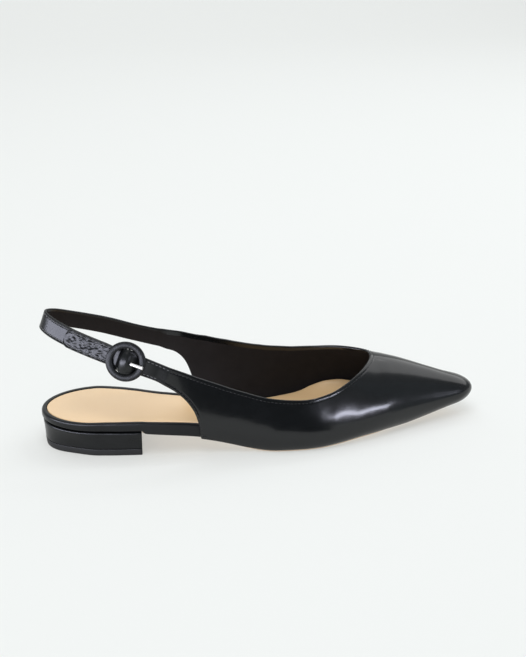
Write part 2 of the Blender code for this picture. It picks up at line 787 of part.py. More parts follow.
    # The prong is curled round the bar and rests on the ring
    curl = [
        (prong_lift * math.cos(a), prong_lift * math.sin(a))
        for a in np.radians(np.arange(280, 89, -15))
    ]
    tip = (BUCKLE_RADIUS - 0.6, tip_lift + 0.1)
    curve = bpy.data.curves.new("buckle_prong", "CURVE")
    curve.dimensions = "3D"
    curve.bevel_depth = PRONG_RADIUS * MM
    curve.bevel_resolution = 2
    curve.use_fill_caps = True
    spline = curve.splines.new("POLY")
    route = [*curl, (BUCKLE_RADIUS - BUCKLE_BAND / 2, tip_lift), tip]
    spline.points.add(len(route) - 1)
    for target, (along, lift) in zip(spline.points, route):
        target.co = (along * MM, 0, lift * MM, 1)
    curve.materials.append(materials["prong"])
    prong = bpy.data.objects.new("buckle_prong", curve)
    bpy.context.scene.collection.objects.link(prong)
    prong.matrix_local = place
    prong.parent = parent


def set_on_floor(parent):
    """Moves the shoe so that the middle of the underside of its bounding box is the origin."""
    bpy.context.view_layer.update()
    graph = bpy.context.evaluated_depsgraph_get()
    corners = []
    for part in parent.children:
        if part.hide_render:
            continue
        solid = part.evaluated_get(graph)
        mesh = solid.to_mesh()
        points = np.empty(len(mesh.vertices) * 3)
        mesh.vertices.foreach_get("co", points)
        matrix = np.array(part.matrix_world)
        points = points.reshape(-1, 3) @ matrix[:3, :3].T + matrix[:3, 3]
        corners += [points.min(axis=0), points.max(axis=0)]
        solid.to_mesh_clear()
    low, high = np.min(corners, axis=0), np.max(corners, axis=0)
    parent.location = (-(low[0] + high[0]) / 2, -(low[1] + high[1]) / 2, -low[2])


def main():
    for old in list(bpy.data.objects):
        bpy.data.objects.remove(old)
    shoe = bpy.data.objects.new("shoe", None)
    bpy.context.scene.collection.objects.link(shoe)
    materials = {
        "upper": make_material("upper_leather", (0.012, 0.013, 0.015), 0.22),
        "strap": make_material("strap_leather", (0.012, 0.013, 0.015), 0.22),
        "wrapped edge": make_material("wrapped_edge", (0.014, 0.015, 0.017), 0.35),
        "sock leather": make_material("sock_leather", (0.72, 0.52, 0.33), 0.55),
        "sole leather": make_material("sole_leather", (0.68, 0.50, 0.34), 0.5),
        "covered heel": make_material("covered_heel", (0.014, 0.015, 0.017), 0.35),
        "heel rubber": make_material("heel_rubber", (0.02, 0.02, 0.021), 0.6),
        "buckle": make_material("buckle_cover", (0.012, 0.013, 0.015), 0.3),
        "prong": make_material("prong_metal", (0.75, 0.75, 0.76), 0.2, 1.0),
    }
    add_sole_unit(materials, shoe)
    add_upper(materials["upper"], shoe)
    add_straps_and_buckle(materials, shoe)
    set_on_floor(shoe)


main()
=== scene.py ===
import math

import bmesh
import bpy
import numpy as np
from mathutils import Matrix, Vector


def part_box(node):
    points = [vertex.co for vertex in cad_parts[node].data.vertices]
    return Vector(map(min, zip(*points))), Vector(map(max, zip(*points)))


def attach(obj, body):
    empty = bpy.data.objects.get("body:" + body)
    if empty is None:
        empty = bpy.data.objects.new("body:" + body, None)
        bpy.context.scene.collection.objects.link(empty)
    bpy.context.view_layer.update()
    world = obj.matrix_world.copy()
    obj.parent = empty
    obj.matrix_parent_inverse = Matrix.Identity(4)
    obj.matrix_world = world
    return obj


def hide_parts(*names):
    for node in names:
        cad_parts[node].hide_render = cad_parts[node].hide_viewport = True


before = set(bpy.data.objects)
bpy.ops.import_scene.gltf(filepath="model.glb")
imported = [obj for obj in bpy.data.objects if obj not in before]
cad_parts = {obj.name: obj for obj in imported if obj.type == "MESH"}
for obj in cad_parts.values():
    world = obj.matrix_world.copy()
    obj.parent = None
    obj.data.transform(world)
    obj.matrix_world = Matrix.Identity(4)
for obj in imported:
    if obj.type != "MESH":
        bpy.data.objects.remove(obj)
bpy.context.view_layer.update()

# Outsole. A thin sheet of natural tan leather, cut a little wider than the footbed, from the heel
# breast to the toe. Its edge is trimmed and burnished and shows as a fine pale line. It is
# cemented under the upper and stands on the floor at the ball of the foot.
MM = 0.001
OUTER, INNER = -1, 1
FOOTBED_LENGTH = 264.5
HEEL_ROUND = 35.0
TOE_ROUND = 9.0
HEEL_LENGTH = 58.0
SOLE_THICKNESS = 1.0
GAP = 0.3
NUDGE = 1e-6
MERGE_METRES = 1e-6


class Table:
    """Rows of sizes, read between the rows on a smooth curve. The first column is the key."""

    def __init__(self, columns, rows):
        self.values = dict(zip(columns.split(), np.array(rows, float).T))
        self.key = next(iter(self.values.values()))

    def __call__(self, column, at):
        return smooth(self.key, self.values[column], at)


def smooth(keys, values, at, keep_between=True):
    """Cubic curve through the values. Its slope at each row is the mean of the slopes to the
    neighbouring rows: their harmonic mean where the curve must not pass beyond the rows."""
    at = np.clip(np.asarray(at, float), keys[0], keys[-1])
    steps = np.diff(keys)
    rises = np.diff(values, axis=0) / (steps[:, None] if values.ndim > 1 else steps)
    slopes = np.gradient(values, keys, axis=0)
    if keep_between:
        product = rises[:-1] * rises[1:]
        total = np.where(product > 0, rises[:-1] + rises[1:], 1)
        slopes[1:-1] = np.where(product > 0, 2 * product / total, 0)
    i = np.clip(np.searchsorted(keys, at, side="right") - 1, 0, len(keys) - 2)
    span = keys[i + 1] - keys[i]
    t = (at - keys[i]) / span
    if values.ndim > 1:
        t, span = t[..., None], span[..., None]
    blend = t * t * (3 - 2 * t)
    return (
        values[i] * (1 - blend)
        + values[i + 1] * blend
        + slopes[i] * span * t * (1 - t) ** 2
        - slopes[i + 1] * span * t * t * (1 - t)
    )


# Plan of the footbed: its middle line, and its breadth to the outer and the inner side of it
PLAN = Table(
    "station axis outer inner",
    [
        (0, 0.0, 27.6, 27.4),
        (32, 0.0, 27.6, 27.2),
        (45, 0.0, 28.8, 24.4),
        (60, 0.0, 30.0, 19.0),
        (75, 0.0, 30.6, 14.5),
        (90, 0.0, 30.3, 12.9),
        (105, 0.0, 30.1, 14.6),
        (120, 0.2, 31.4, 18.6),
        (140, 0.5, 34.8, 25.6),
        (155, 0.9, 35.6, 29.4),
        (170, 1.4, 33.8, 31.2),
        (185, 2.0, 30.2, 30.0),
        (200, 2.6, 25.6, 25.8),
        (215, 3.1, 20.2, 20.4),
        (230, 3.5, 14.8, 15.0),
        (245, 3.8, 10.0, 9.8),
        (255, 4.0, 7.6, 7.4),
        (264.5, 4.0, 5.8, 5.6),
    ],
)

# Side line: the underside of the outsole and the top of the footbed
SIDE = Table(
    "station sole bed",
    [
        (0, 15.6, 22.4),
        (25, 15.1, 22.4),
        (45, 14.5, 22.4),
        (58, 14.3, 22.3),
        (60, 13.5, 22.1),
        (63, 13.1, 21.9),
        (75, 11.8, 21.1),
        (90, 9.7, 19.3),
        (100, 7.4, 17.2),
        (110, 4.6, 14.0),
        (120, 2.0, 11.0),
        (130, 0.4, 8.9),
        (137, 0.0, 8.0),
        (150, 0.0, 7.4),
        (163, 0.0, 7.3),
        (176, 0.7, 7.9),
        (190, 1.7, 8.9),
        (205, 2.2, 9.9),
        (220, 2.7, 10.8),
        (235, 4.5, 12.0),
        (250, 7.2, 13.8),
        (266, 10.6, 16.4),
    ],
)


def station(share):
    """Station of a share on a scale that crowds towards both ends of the footbed, by a cosine."""
    return FOOTBED_LENGTH * (1 - np.cos(np.pi * np.asarray(share, float))) / 2


def station_share(x):
    """Share of a station on that scale: the arc cosine of its place between the two ends."""
    return np.arccos(np.clip(1 - 2 * np.asarray(x, float) / FOOTBED_LENGTH, -1, 1)) / np.pi


def stations_between(first, last, count):
    """Stations from one to another, crowded towards the ends of the footbed."""
    return station(np.linspace(station_share(first), station_share(last), count))


def footbed_edge(side, share):
    """Edge of the footbed in plan, with its outward normal. The breadth is drawn in at heel and
    toe as a quarter ellipse."""

    def point(s):
        x = station(s)
        heel = np.clip((HEEL_ROUND - x) / HEEL_ROUND, 0, 1)
        toe = np.clip((x - FOOTBED_LENGTH + TOE_ROUND) / TOE_ROUND, 0, 1)
        rounding = np.sqrt((1 - heel**2) * (1 - toe**2))
        breadth = PLAN("outer" if side == OUTER else "inner", x)
        return np.stack([x, PLAN("axis", x) + side * breadth * rounding], -1)

    share = np.asarray(share, float)
    ahead = point(np.clip(share + NUDGE, 0, 1)) - point(np.clip(share - NUDGE, 0, 1))
    normal = side * np.stack([-ahead[..., 1], ahead[..., 0]], -1)
    return point(share), normal / np.linalg.norm(normal, axis=-1, keepdims=True)


def ramp(x, first, last):
    """0 up to the first value and 1 from the last, eased between them."""
    share = np.clip((np.asarray(x, float) - first) / (last - first), 0, 1)
    return share**2 * (3 - 2 * share)


# From the shoe's own frame, with the heel back at x = 0, to the frame of the solids
SHOE_PLACE = np.array(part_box("footbed")[0]) / MM
SHOE_PLACE[1] -= footbed_edge(OUTER, np.linspace(0, 1, 2001))[0][:, 1].min()
SHOE_PLACE[2] = 0


def roll(start, end, upright=False, count=6):
    """Quarter ellipse of (growth, height) rows. It sets off flat, or upright, and ends square to
    that: one size follows the sine of the turn and the other one minus its cosine."""
    turn = np.linspace(0, math.pi / 2, count)
    fast, slow = np.sin(turn), 1 - np.cos(turn)
    out, up = (slow, fast) if upright else (fast, slow)
    return [
        (start[0] + (end[0] - start[0]) * a, start[1] + (end[1] - start[1]) * b)
        for a, b in zip(out, up)
    ]


def loft_layer(stations, profile, flat=14):
    """Loops round a piece cut to the plan, one for each station: across the underside, up the
    inner side, back over the top and down the outer side. The profile gives rows of growth past
    the footbed's edge and height. An end that is cut off short of the plan's is cut square."""
    rims = []
    for side in (OUTER, INNER):
        edge, normal = footbed_edge(side, station_share(stations))
        cut = np.array([[stations[0] > 0], [stations[-1] < FOOTBED_LENGTH]])
        normal[[0, -1]] = np.where(cut, (0, side), normal[[0, -1]])
        rows = profile(side, stations)
        grow = np.stack([np.broadcast_to(row[0], stations.shape) for row in rows], 1)
        height = np.stack([np.broadcast_to(row[1], stations.shape) for row in rows], 1)
        plan = edge[:, None] + grow[..., None] * normal[:, None]
        rims.append(np.concatenate([plan, height[..., None]], -1))
    outer, inner = rims
    across = np.linspace(0, 1, flat)[1:-1, None]
    under = outer[:, :1] * (1 - across) + inner[:, :1] * across
    over = inner[:, -1:] * (1 - across) + outer[:, -1:] * across
    return np.concatenate([under, inner, over, outer[:, ::-1]], axis=1)


def closed_end(loop, radius, ahead):
    """Rows that close a loft: the end loop is drawn in along a quarter circle and then shrinks to
    its middle. Ahead is 1 at the front end and -1 at the back."""
    middle = (loop.min(axis=0) + loop.max(axis=0)) / 2
    reach = (loop.max(axis=0) - loop.min(axis=0))[1:] / 2
    turn = np.linspace(0, math.pi / 2, 6)[1:]
    inset = 1 - radius * (1 - np.cos(turn))[:, None] / reach
    inset = np.concatenate([inset, inset[-1:] * 0.5, inset[-1:] * 0])
    forward = np.append(radius * np.sin(turn), [radius, radius]) * ahead
    scale = np.concatenate([np.ones((len(inset), 1)), inset], -1)
    rows = middle + (loop - middle) * scale[:, None]
    rows[..., 0] += forward[:, None]
    return rows if ahead > 0 else rows[::-1]


def skin(grid, wrapped=True, finish=0):
    """Points, faces and the finish of each face of a grid of points. A face looks along its second
    direction crossed with its first. A wrapped grid closes in its second direction."""
    rows, columns = grid.shape[:2]
    index = np.arange(rows * columns).reshape(rows, columns)
    if wrapped:
        index = np.concatenate([index, index[:, :1]], axis=1)
    corners = [index[:-1, :-1], index[:-1, 1:], index[1:, 1:], index[1:, :-1]]
    faces = np.stack(corners, -1)
    finishes = np.broadcast_to(finish, faces.shape[:2])
    return grid.reshape(-1, 3), faces.reshape(-1, 4), finishes.reshape(-1)


def add_piece(name, skins, materials, sharp=40):
    """A mesh piece at the origin from skins in the shoe's own millimetres. Doubled points at seams
    and poles are merged, and edges that turn by more than the sharp angle stay sharp."""
    starts = np.cumsum([0] + [len(points) for points, _, _ in skins[:-1]])
    points = np.concatenate([points for points, _, _ in skins])
    faces = np.concatenate([faces + start for (_, faces, _), start in zip(skins, starts)])
    mesh = bpy.data.meshes.new(name)
    mesh.from_pydata((points + SHOE_PLACE) * MM, [], faces)
    finishes = np.concatenate([finish for _, _, finish in skins]).astype(np.int32)
    mesh.polygons.foreach_set("material_index", finishes)
    bm = bmesh.new()
    bm.from_mesh(mesh)
    bmesh.ops.remove_doubles(bm, verts=bm.verts, dist=MERGE_METRES)
    bm.to_mesh(mesh)
    bm.free()
    mesh.shade_smooth()
    mesh.set_sharp_from_angle(angle=math.radians(sharp))
    for material in materials:
        mesh.materials.append(material)
    piece = bpy.data.objects.new(name, mesh)
    bpy.context.scene.collection.objects.link(piece)
    return piece


class Shade:
    """An output of a shader node. Sums, differences and products of shades and numbers add Math
    nodes, so that a mask can be written as it is read: 1 - wear * 0.3."""

    def __init__(self, tree, socket=None):
        self.tree = tree
        self.socket = socket

    def node(self, kind, settings=None, inputs=None, output=0):
        """A new node of a kind: its settings first, then a value or a link for each input."""
        made = self.tree.nodes.new("ShaderNode" + kind)
        for key, value in (settings or {}).items():
            setattr(made, key, value)
        for key, value in (inputs or {}).items():
            if isinstance(value, Shade):
                self.tree.links.new(value.socket, made.inputs[key])
            else:
                made.inputs[key].default_value = value
        return Shade(self.tree, made.outputs[output])

    def maths(self, operation, first, second):
        """A Math node's result for two shades or numbers."""
        return self.node("Math", {"operation": operation}, {0: first, 1: second})

    def __add__(self, other):
        return self.maths("ADD", self, other)

    def __sub__(self, other):
        return self.maths("SUBTRACT", self, other)

    def __mul__(self, other):
        return self.maths("MULTIPLY", self, other)

    def __rsub__(self, other):
        return self.maths("SUBTRACT", other, self)

    __radd__ = __add__
    __rmul__ = __mul__

    def noise(self, scale, detail):
        """Cloudy noise from 0 to 1, fixed to the piece. The scale is in clouds to the metre."""
        where = self.node("TexCoord", output="Object")
        return self.node("TexNoise", None, {"Vector": where, "Scale": scale, "Detail": detail})

    def pores(self, scale):
        """Rounded cells, fixed to the piece: the smoothed distance to the nearest of many points."""
        where = self.node("TexCoord", output="Object")
        return self.node("TexVoronoi", {"feature": "SMOOTH_F1"}, {"Vector": where, "Scale": scale})

    def mixed(self, first, second):
        """Colour between two colours, by this shade."""
        return self.node("Mix", {"data_type": "RGBA"}, {0: self, 6: first, 7: second}, output=2)

    def bumped(self, distance, under=None):
        """Normal of a relief whose height is this shade times a distance in metres."""
        inputs = {"Height": self, "Distance": distance}
        if under is not None:
            inputs["Normal"] = under
        return self.node("Bump", None, inputs)


def make_finish(name, plain, paint):
    """A material: plain values stay on its shader, and paint gives what changes over the surface."""
    material = bpy.data.materials.new(name)
    material.use_nodes = True
    shader = material.node_tree.nodes["Principled BSDF"]
    for key, value in plain.items():
        shader.inputs[key].default_value = value
    for key, shade in paint(Shade(material.node_tree)).items():
        material.node_tree.links.new(shade.socket, shader.inputs[key])
    return material


SOLE_TAN = (0.86, 0.70, 0.54, 1)
SOLE_TAN_DEEP = (0.74, 0.56, 0.40, 1)


def sole_paint(shade):
    """Tan that clouds slowly, with fine short fibres in its colour, gloss and relief."""
    cloud = shade.noise(70, 3)
    fibre = shade.noise(1400, 4)
    tone = cloud * 0.7 + fibre * 0.3
    return {
        "Base Color": tone.mixed(SOLE_TAN, SOLE_TAN_DEEP),
        "Roughness": 0.4 + fibre * 0.2,
        "Normal": fibre.bumped(0.00003),
    }


sole_leather = make_finish("sole_leather_finish", {"IOR": 1.45}, sole_paint)

# How far the edge stands out, where along the sole it is drawn in and by how much, and its rounding
SOLE_PROUD = 1.0
SOLE_WAIST, SOLE_WAIST_DRAWN = (98, 128), 4.0
SOLE_TOE, SOLE_TOE_DRAWN = (198, 222), 3.0
SOLE_LOW_IN, SOLE_LOW_UP = 0.7, 0.5
SOLE_TOP_ROUND = 0.15
SOLE_BACK_ROUND = 0.05
SOLE_STATIONS = 150


def sole_profile(side, x):
    """A rounded edge that stands a little proud of the footbed along the ball, and is drawn in
    under the waist and the toe."""
    low = SIDE("sole", x)
    top = low + SOLE_THICKNESS
    drawn = SOLE_WAIST_DRAWN * (1 - ramp(x, *SOLE_WAIST)) + SOLE_TOE_DRAWN * ramp(x, *SOLE_TOE)
    proud = SOLE_PROUD - drawn
    edge = roll((proud - SOLE_LOW_IN, low), (proud, low + SOLE_LOW_UP))
    return edge + roll((proud, top - SOLE_TOP_ROUND), (proud - SOLE_TOP_ROUND, top), True, 3)


sole_stations = stations_between(HEEL_LENGTH + GAP, FOOTBED_LENGTH, SOLE_STATIONS)
sole_loops = loft_layer(sole_stations, sole_profile)
sole_loops = np.concatenate([closed_end(sole_loops[0], SOLE_BACK_ROUND, -1), sole_loops])
outsole = add_piece("outsole_sheet", [skin(sole_loops)], [sole_leather])
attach(outsole, "root")
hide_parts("outsole")

# Heel. A low block with an upright breast, a little drawn in at its sides and covered in black
# leather with a satin finish. It is screwed on through the seat of the footbed.
TOP_PIECE_HEIGHT = 4.3
HEEL_FOOT_ROUND = 0.3
HEEL_TOP_ROUND = 1.2
HEEL_BACK = 28
HEEL_CORNER, HEEL_CORNER_REACH = 15, 13
HEEL_SWELL = 1.6
HEEL_SIDE_SHARES = np.linspace(0.08, 0.9, 12)
BREAST_ROUND = 0.5
HEEL_STATIONS = 60

# How far the heel is set in at its back, its sides and the corners between them, from foot to top
HEEL_FOOT_EDGE = (1.1, 2.4, 2.4)
HEEL_FOOT = (0.8, 2.1, 2.4)
HEEL_TOP = (0.6, 1.2, 0.4)
HEEL_TOP_EDGE = (1.8, 2.4, 0.4)
BLACK = (0.0040, 0.0047, 0.0055, 1)
BLACK_WORN = (0.0075, 0.0085, 0.0098, 1)


def feather_z(x):
    """Height of the feather edge, where upper and footbed rest on the outsole."""
    return SIDE("sole", x) + SOLE_THICKNESS + GAP


def heel_inset(x, sizes):
    """Growth of the heel past the footbed's edge, which is below 0. The size at its back eases to
    that of its sides, and the corner between them is set in further, by a bell."""
    back, sides, corner = sizes
    bell = np.exp(-(((x - HEEL_CORNER) / HEEL_CORNER_REACH) ** 2))
    return -back - (sides - back) * ramp(x, 0, HEEL_BACK) - corner * bell


def heel_profile(side, x):
    """A side that is drawn in between its rolled top and its foot, by a power of the height."""
    low, high = TOP_PIECE_HEIGHT + GAP, feather_z(x) - GAP
    foot, top = low + HEEL_FOOT_ROUND, high - HEEL_TOP_ROUND
    rows = roll((heel_inset(x, HEEL_FOOT_EDGE), low), (heel_inset(x, HEEL_FOOT), foot), False, 4)
    for share in HEEL_SIDE_SHARES:
        sizes = np.array(HEEL_FOOT) + (np.array(HEEL_TOP) - HEEL_FOOT) * share**HEEL_SWELL
        rows.append((heel_inset(x, sizes), foot + (top - foot) * share))
    return rows + roll((heel_inset(x, HEEL_TOP), top), (heel_inset(x, HEEL_TOP_EDGE), high), True, 9)


def satin_paint(shade):
    """Black leather drawn tight: pores in its relief, slow clouds in its gloss and tone."""
    pores = shade.pores(1900)
    cloud = shade.noise(160, 4)
    swell = shade.noise(70, 2)
    return {
        "Base Color": cloud.mixed(BLACK, BLACK_WORN),
        "Roughness": 0.22 + cloud * 0.18,
        "Normal": pores.bumped(0.00001, swell.bumped(0.0002)),
    }


satin_black = make_finish("satin_black_leather", {"Specular IOR Level": 0.29}, satin_paint)
heel_stations = stations_between(0, HEEL_LENGTH - BREAST_ROUND, HEEL_STATIONS)
heel_loops = loft_layer(heel_stations, heel_profile)
heel_loops = np.concatenate([heel_loops, closed_end(heel_loops[-1], BREAST_ROUND, 1)])
heel = add_piece("heel_cover", [skin(heel_loops)], [satin_black])
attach(heel, "root")
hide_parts("heel_block")

# Top piece. A slab of black rubber, ground flush with the heel and nailed under it, on which the
# heel stands.
RUBBER = (0.011, 0.0112, 0.0118, 1)
RUBBER_DUSTY = (0.019, 0.019, 0.0195, 1)
LIFT_FOOT_EDGE = (1.7, 3.0, 2.6)
LIFT_FOOT = (1.1, 2.4, 2.6)
LIFT_FOOT_ROUND = 0.5
LIFT_HEAD_IN, LIFT_HEAD_DOWN = 0.3, 0.4


def top_piece_profile(side, x):
    """A rounded foot, and a head that is set in as the heel above it is, with a rolled edge."""
    head = heel_inset(x, HEEL_FOOT)
    foot = roll((heel_inset(x, LIFT_FOOT_EDGE), 0.0), (heel_inset(x, LIFT_FOOT), LIFT_FOOT_ROUND))
    below = TOP_PIECE_HEIGHT - LIFT_HEAD_DOWN
    return foot + roll((head, below), (head - LIFT_HEAD_IN, TOP_PIECE_HEIGHT), True)


def rubber_paint(shade):
    """Matt rubber with a ground side: slow clouds in tone, fine specks in gloss and relief."""
    speck = shade.noise(2600, 3)
    cloud = shade.noise(120, 3)
    return {
        "Base Color": cloud.mixed(RUBBER, RUBBER_DUSTY),
        "Roughness": 0.42 + speck * 0.2,
        "Normal": speck.bumped(0.00002),
    }


heel_rubber = make_finish("heel_rubber_finish", {"Specular IOR Level": 0.3}, rubber_paint)
lift_loops = loft_layer(heel_stations, top_piece_profile)
lift_loops = np.concatenate([lift_loops, closed_end(lift_loops[-1], BREAST_ROUND, 1)])
lift = add_piece("heel_lift", [skin(lift_loops)], [heel_rubber])
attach(lift, "root")
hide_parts("heel_top_piece")

# Footbed. The insole board, its edge wrapped in black leather that is turned over the rim and in
# under the sock, from the open heel to the toe, with a dark recess where it sits on the heel. The
# upper is lasted round it at the front.
SOCK_BORDER_BACK = 3.2
SOCK_BORDER_OUTER = 2.5
SOCK_BORDER_INNER = 3.4
SOCK_BORDER_EASE = (2, 25)
SOCK_RECESS = 1.5

# Where along the footbed the rim drops under the upper, the border changes at the toe and the seat
# over the heel ends, and the sizes of tuck, crown and lip
RIM_LOWERED = (91, 100)
TOE_DRAWN, TOE_BORDER = (240, 262), 2.0
SEAT_END = (58, 60)
SEAT_TUCK, SEAT_TUCK_HEIGHT, SEAT_ROLL = 2.0, 1.2, 1.4
EDGE_TUCK = 0.6
CROWN_IN, CROWN_DOWN = 1.3, 1.4
LIP = 0.5
SLIGHT = 0.05
FOOTBED_STATIONS = 220


def sock_border(side, x):
    """Breadth of black rim beside the sock: one size at the heel back, eased to each side's own."""
    along_side = SOCK_BORDER_OUTER if side == OUTER else SOCK_BORDER_INNER
    return SOCK_BORDER_BACK + (along_side - SOCK_BORDER_BACK) * ramp(x, *SOCK_BORDER_EASE)


def footbed_profile(side, x):
    """The wall rolls out from a tuck under the edge, deeper over the heel. The crown rolls in to the
    rim, which drops where the upper covers it, and the lip falls to the bed of the sock."""
    under = feather_z(x)
    rim = SIDE("bed", x) - (SOCK_RECESS - SLIGHT) * ramp(x, *RIM_LOWERED)
    toe = ramp(x, *TOE_DRAWN)
    recess = GAP - sock_border(side, x) * (1 - toe) - TOE_BORDER * toe
    sock_bed = SIDE("bed", x) - SOCK_RECESS
    seat = 1 - ramp(x, *SEAT_END)
    tuck = -EDGE_TUCK - SEAT_TUCK * seat
    wall_foot = (0.0, under + EDGE_TUCK + SEAT_ROLL * seat)
    wall = [(tuck, under)] + roll((tuck, under + SEAT_TUCK_HEIGHT * seat), wall_foot, False, 8)
    crown = roll((0.0, rim - CROWN_DOWN), (-CROWN_IN, rim), True, 9)
    lip_start = np.minimum(recess + LIP, -CROWN_IN - SLIGHT)
    lip = roll((lip_start, rim), (recess, np.maximum(rim - LIP, sock_bed)))
    return wall + crown + lip + [(recess, sock_bed)]


bed_loops = loft_layer(stations_between(0, FOOTBED_LENGTH, FOOTBED_STATIONS), footbed_profile)
footbed = add_piece("wrapped_footbed", [skin(bed_loops)], [satin_black])
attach(footbed, "root")
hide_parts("footbed")

# Sock. Smooth tan leather on a thin foam, skived at its edge and glued on the footbed. It lies
# inside the rim at the open heel and is pressed up against the upper at the front.
SOCK_THICKNESS = 1.0
SOCK_SPREAD = 1.2
SOCK_SKIVE = 1.1
SOCK_INSIDE = (102, 116)
SOCK_SHORT = 0.8
SOCK_SPREAD_CLIMB = 3.0
SOCK_FLAT = 0.3
SOCK_STATIONS, SOCK_ACROSS = 200, 48
TAN = (0.765, 0.505, 0.255, 1)
TAN_PALE = (0.82, 0.58, 0.325, 1)

# How far the sock turns up at its edges where it is pressed against the upper
SOCK_CLIMB = Table(
    "station outer inner",
    [
        (145, 0.0, 0.0),
        (155, 0.3, 0.3),
        (162, 0.8, 1.0),
        (171, 1.6, 3.4),
        (180, 2.2, 5.6),
        (187, 2.2, 5.8),
        (197, 1.6, 4.4),
        (215, 0.6, 1.6),
        (240, 0.0, 0.0),
    ],
)


def sock_loops(stations, count):
    """Loops round the sock: its underside from the outer to the inner edge, and its top back again.
    The top falls to the underside over the skived edge as a quarter ellipse, and the edges climb
    by the square of the way out from the middle."""
    share = station_share(stations)
    inside = ramp(stations, *SOCK_INSIDE)
    edges, climbs = [], []
    for side, column in ((OUTER, "outer"), (INNER, "inner")):
        edge, normal = footbed_edge(side, share)
        climb = SOCK_CLIMB(column, stations)
        border = sock_border(side, stations)
        spread = (SOCK_SHORT + SOCK_SPREAD) * np.clip(climb / SOCK_SPREAD_CLIMB, 0, 1)
        grow = -border + (border - SOCK_SHORT) * inside + spread
        edges.append(edge + grow[:, None] * normal)
        climbs.append(climb[:, None])
    across = (1 - np.cos(np.linspace(0, math.pi, count))) / 2
    plan = edges[0][:, None] * (1 - across)[:, None] + edges[1][:, None] * across[:, None]
    bend = np.clip((np.abs(across - 0.5) - SOCK_FLAT) / (0.5 - SOCK_FLAT), 0, 1)
    climb = np.where(across < 0.5, climbs[0], climbs[1]) * bend**2
    under = SIDE("bed", plan[..., 0]) - SOCK_RECESS + GAP + climb
    breadth = np.linalg.norm(edges[1] - edges[0], axis=1)[:, None] + NUDGE
    inward = np.clip(np.minimum(across, 1 - across) * breadth / SOCK_SKIVE, 0, 1)
    top = under + SOCK_THICKNESS * np.sqrt(1 - (1 - inward) ** 2)
    low_sheet = np.concatenate([plan, under[..., None]], -1)
    top_sheet = np.concatenate([plan, top[..., None]], -1)
    return np.concatenate([low_sheet, top_sheet[:, ::-1]], axis=1)


def sock_paint(shade):
    """Tan with slow pale clouds and fine pores, a little glossier where it is pale."""
    cloud = shade.noise(45, 3)
    pores = shade.pores(1500)
    fibre = shade.noise(700, 4)
    tone = cloud * 0.75 + fibre * 0.25
    return {
        "Base Color": tone.mixed(TAN, TAN_PALE),
        "Roughness": 0.42 - tone * 0.12,
        "Normal": pores.bumped(0.00003, cloud.bumped(0.0003)),
    }


SOCK_POLISH = {"IOR": 1.5, "Coat Weight": 1.0, "Coat IOR": 1.75, "Coat Roughness": 0.35}
sock_leather = make_finish("sock_leather_finish", SOCK_POLISH, sock_paint)
sock_grid = sock_loops(stations_between(0, FOOTBED_LENGTH, SOCK_STATIONS), SOCK_ACROSS)
sock = add_piece("tan_sock", [skin(sock_grid)], [sock_leather])
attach(sock, "root")
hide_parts("insole_sock")

# Upper. Vamp and quarters cut in one from polished black leather, folded over at the topline and
# at the back edges, backed with a dark lining and lasted over the feather edge of the footbed.
WALL = 1.6
THROAT = 201.0
RIDGE_STEP = 0.5
HALVINGS = 40
SMALL_SHARE = 0.001
MIDDLE_PULL = 3.0
UPPER_COLUMNS = 150
EDGE_ROWS, EDGE_STEP = 14, 0.3
BODY_ROWS = 66
TURNED_ROWS = 7
ARC_ROWS = 7
TOP_ROLL, LOW_ROLL = 0.5, 0.3
BACK_SHARE = 0.22
STITCH_INSET = 1.8
BEAD_AT, BEAD_BREADTH, BEAD_HEIGHT = 0.7, 0.5, 0.06
TROUGH_BREADTH, TROUGH_DEPTH = 0.35, 0.10

# Cross-sections of the last above the feather edge: the ridge of the foot, and for each side how
# far the wall swells out, the height of that swell and the breadth of the shoulder at the ridge
LAST = Table(
    "station ridge_x ridge_y ridge_z outer_swell outer_rise outer_shoulder"
    " inner_swell inner_rise inner_shoulder",
    [
        (60, 60, 0.0, 118.0, 7.0, 36, 22, 24.0, 38, 24),
        (92, 92, 0.5, 106.0, 6.5, 27, 20, 24.0, 34, 25),
        (120, 120, 1.0, 90.0, 8.5, 18, 20, 20.0, 29, 26),
        (150, 150, 2.0, 71.5, 10.0, 12, 21, 12.0, 22, 25),
        (175, 175, 2.6, 57.4, 10.5, 9.8, 19.5, 10.5, 17, 22),
        (201, 201, 3.2, 44.3, 11.0, 10.5, 16, 10.0, 14, 17),
        (210, 210, 3.35, 41.9, 10.6, 10.5, 14.5, 9.5, 13, 15),
        (220, 219.5, 3.5, 39.1, 10.0, 10, 12.5, 9.0, 12, 13),
        (240, 237.8, 3.9, 32.3, 8.7, 8.5, 8.5, 8.2, 10, 9),
        (255, 250.3, 4.0, 27.6, 7.6, 8.0, 7, 7.2, 8.5, 7),
        (264.5, 255.4, 4.0, 25.9, 5.6, 7.5, 8, 5.6, 7.5, 8),
    ],
)

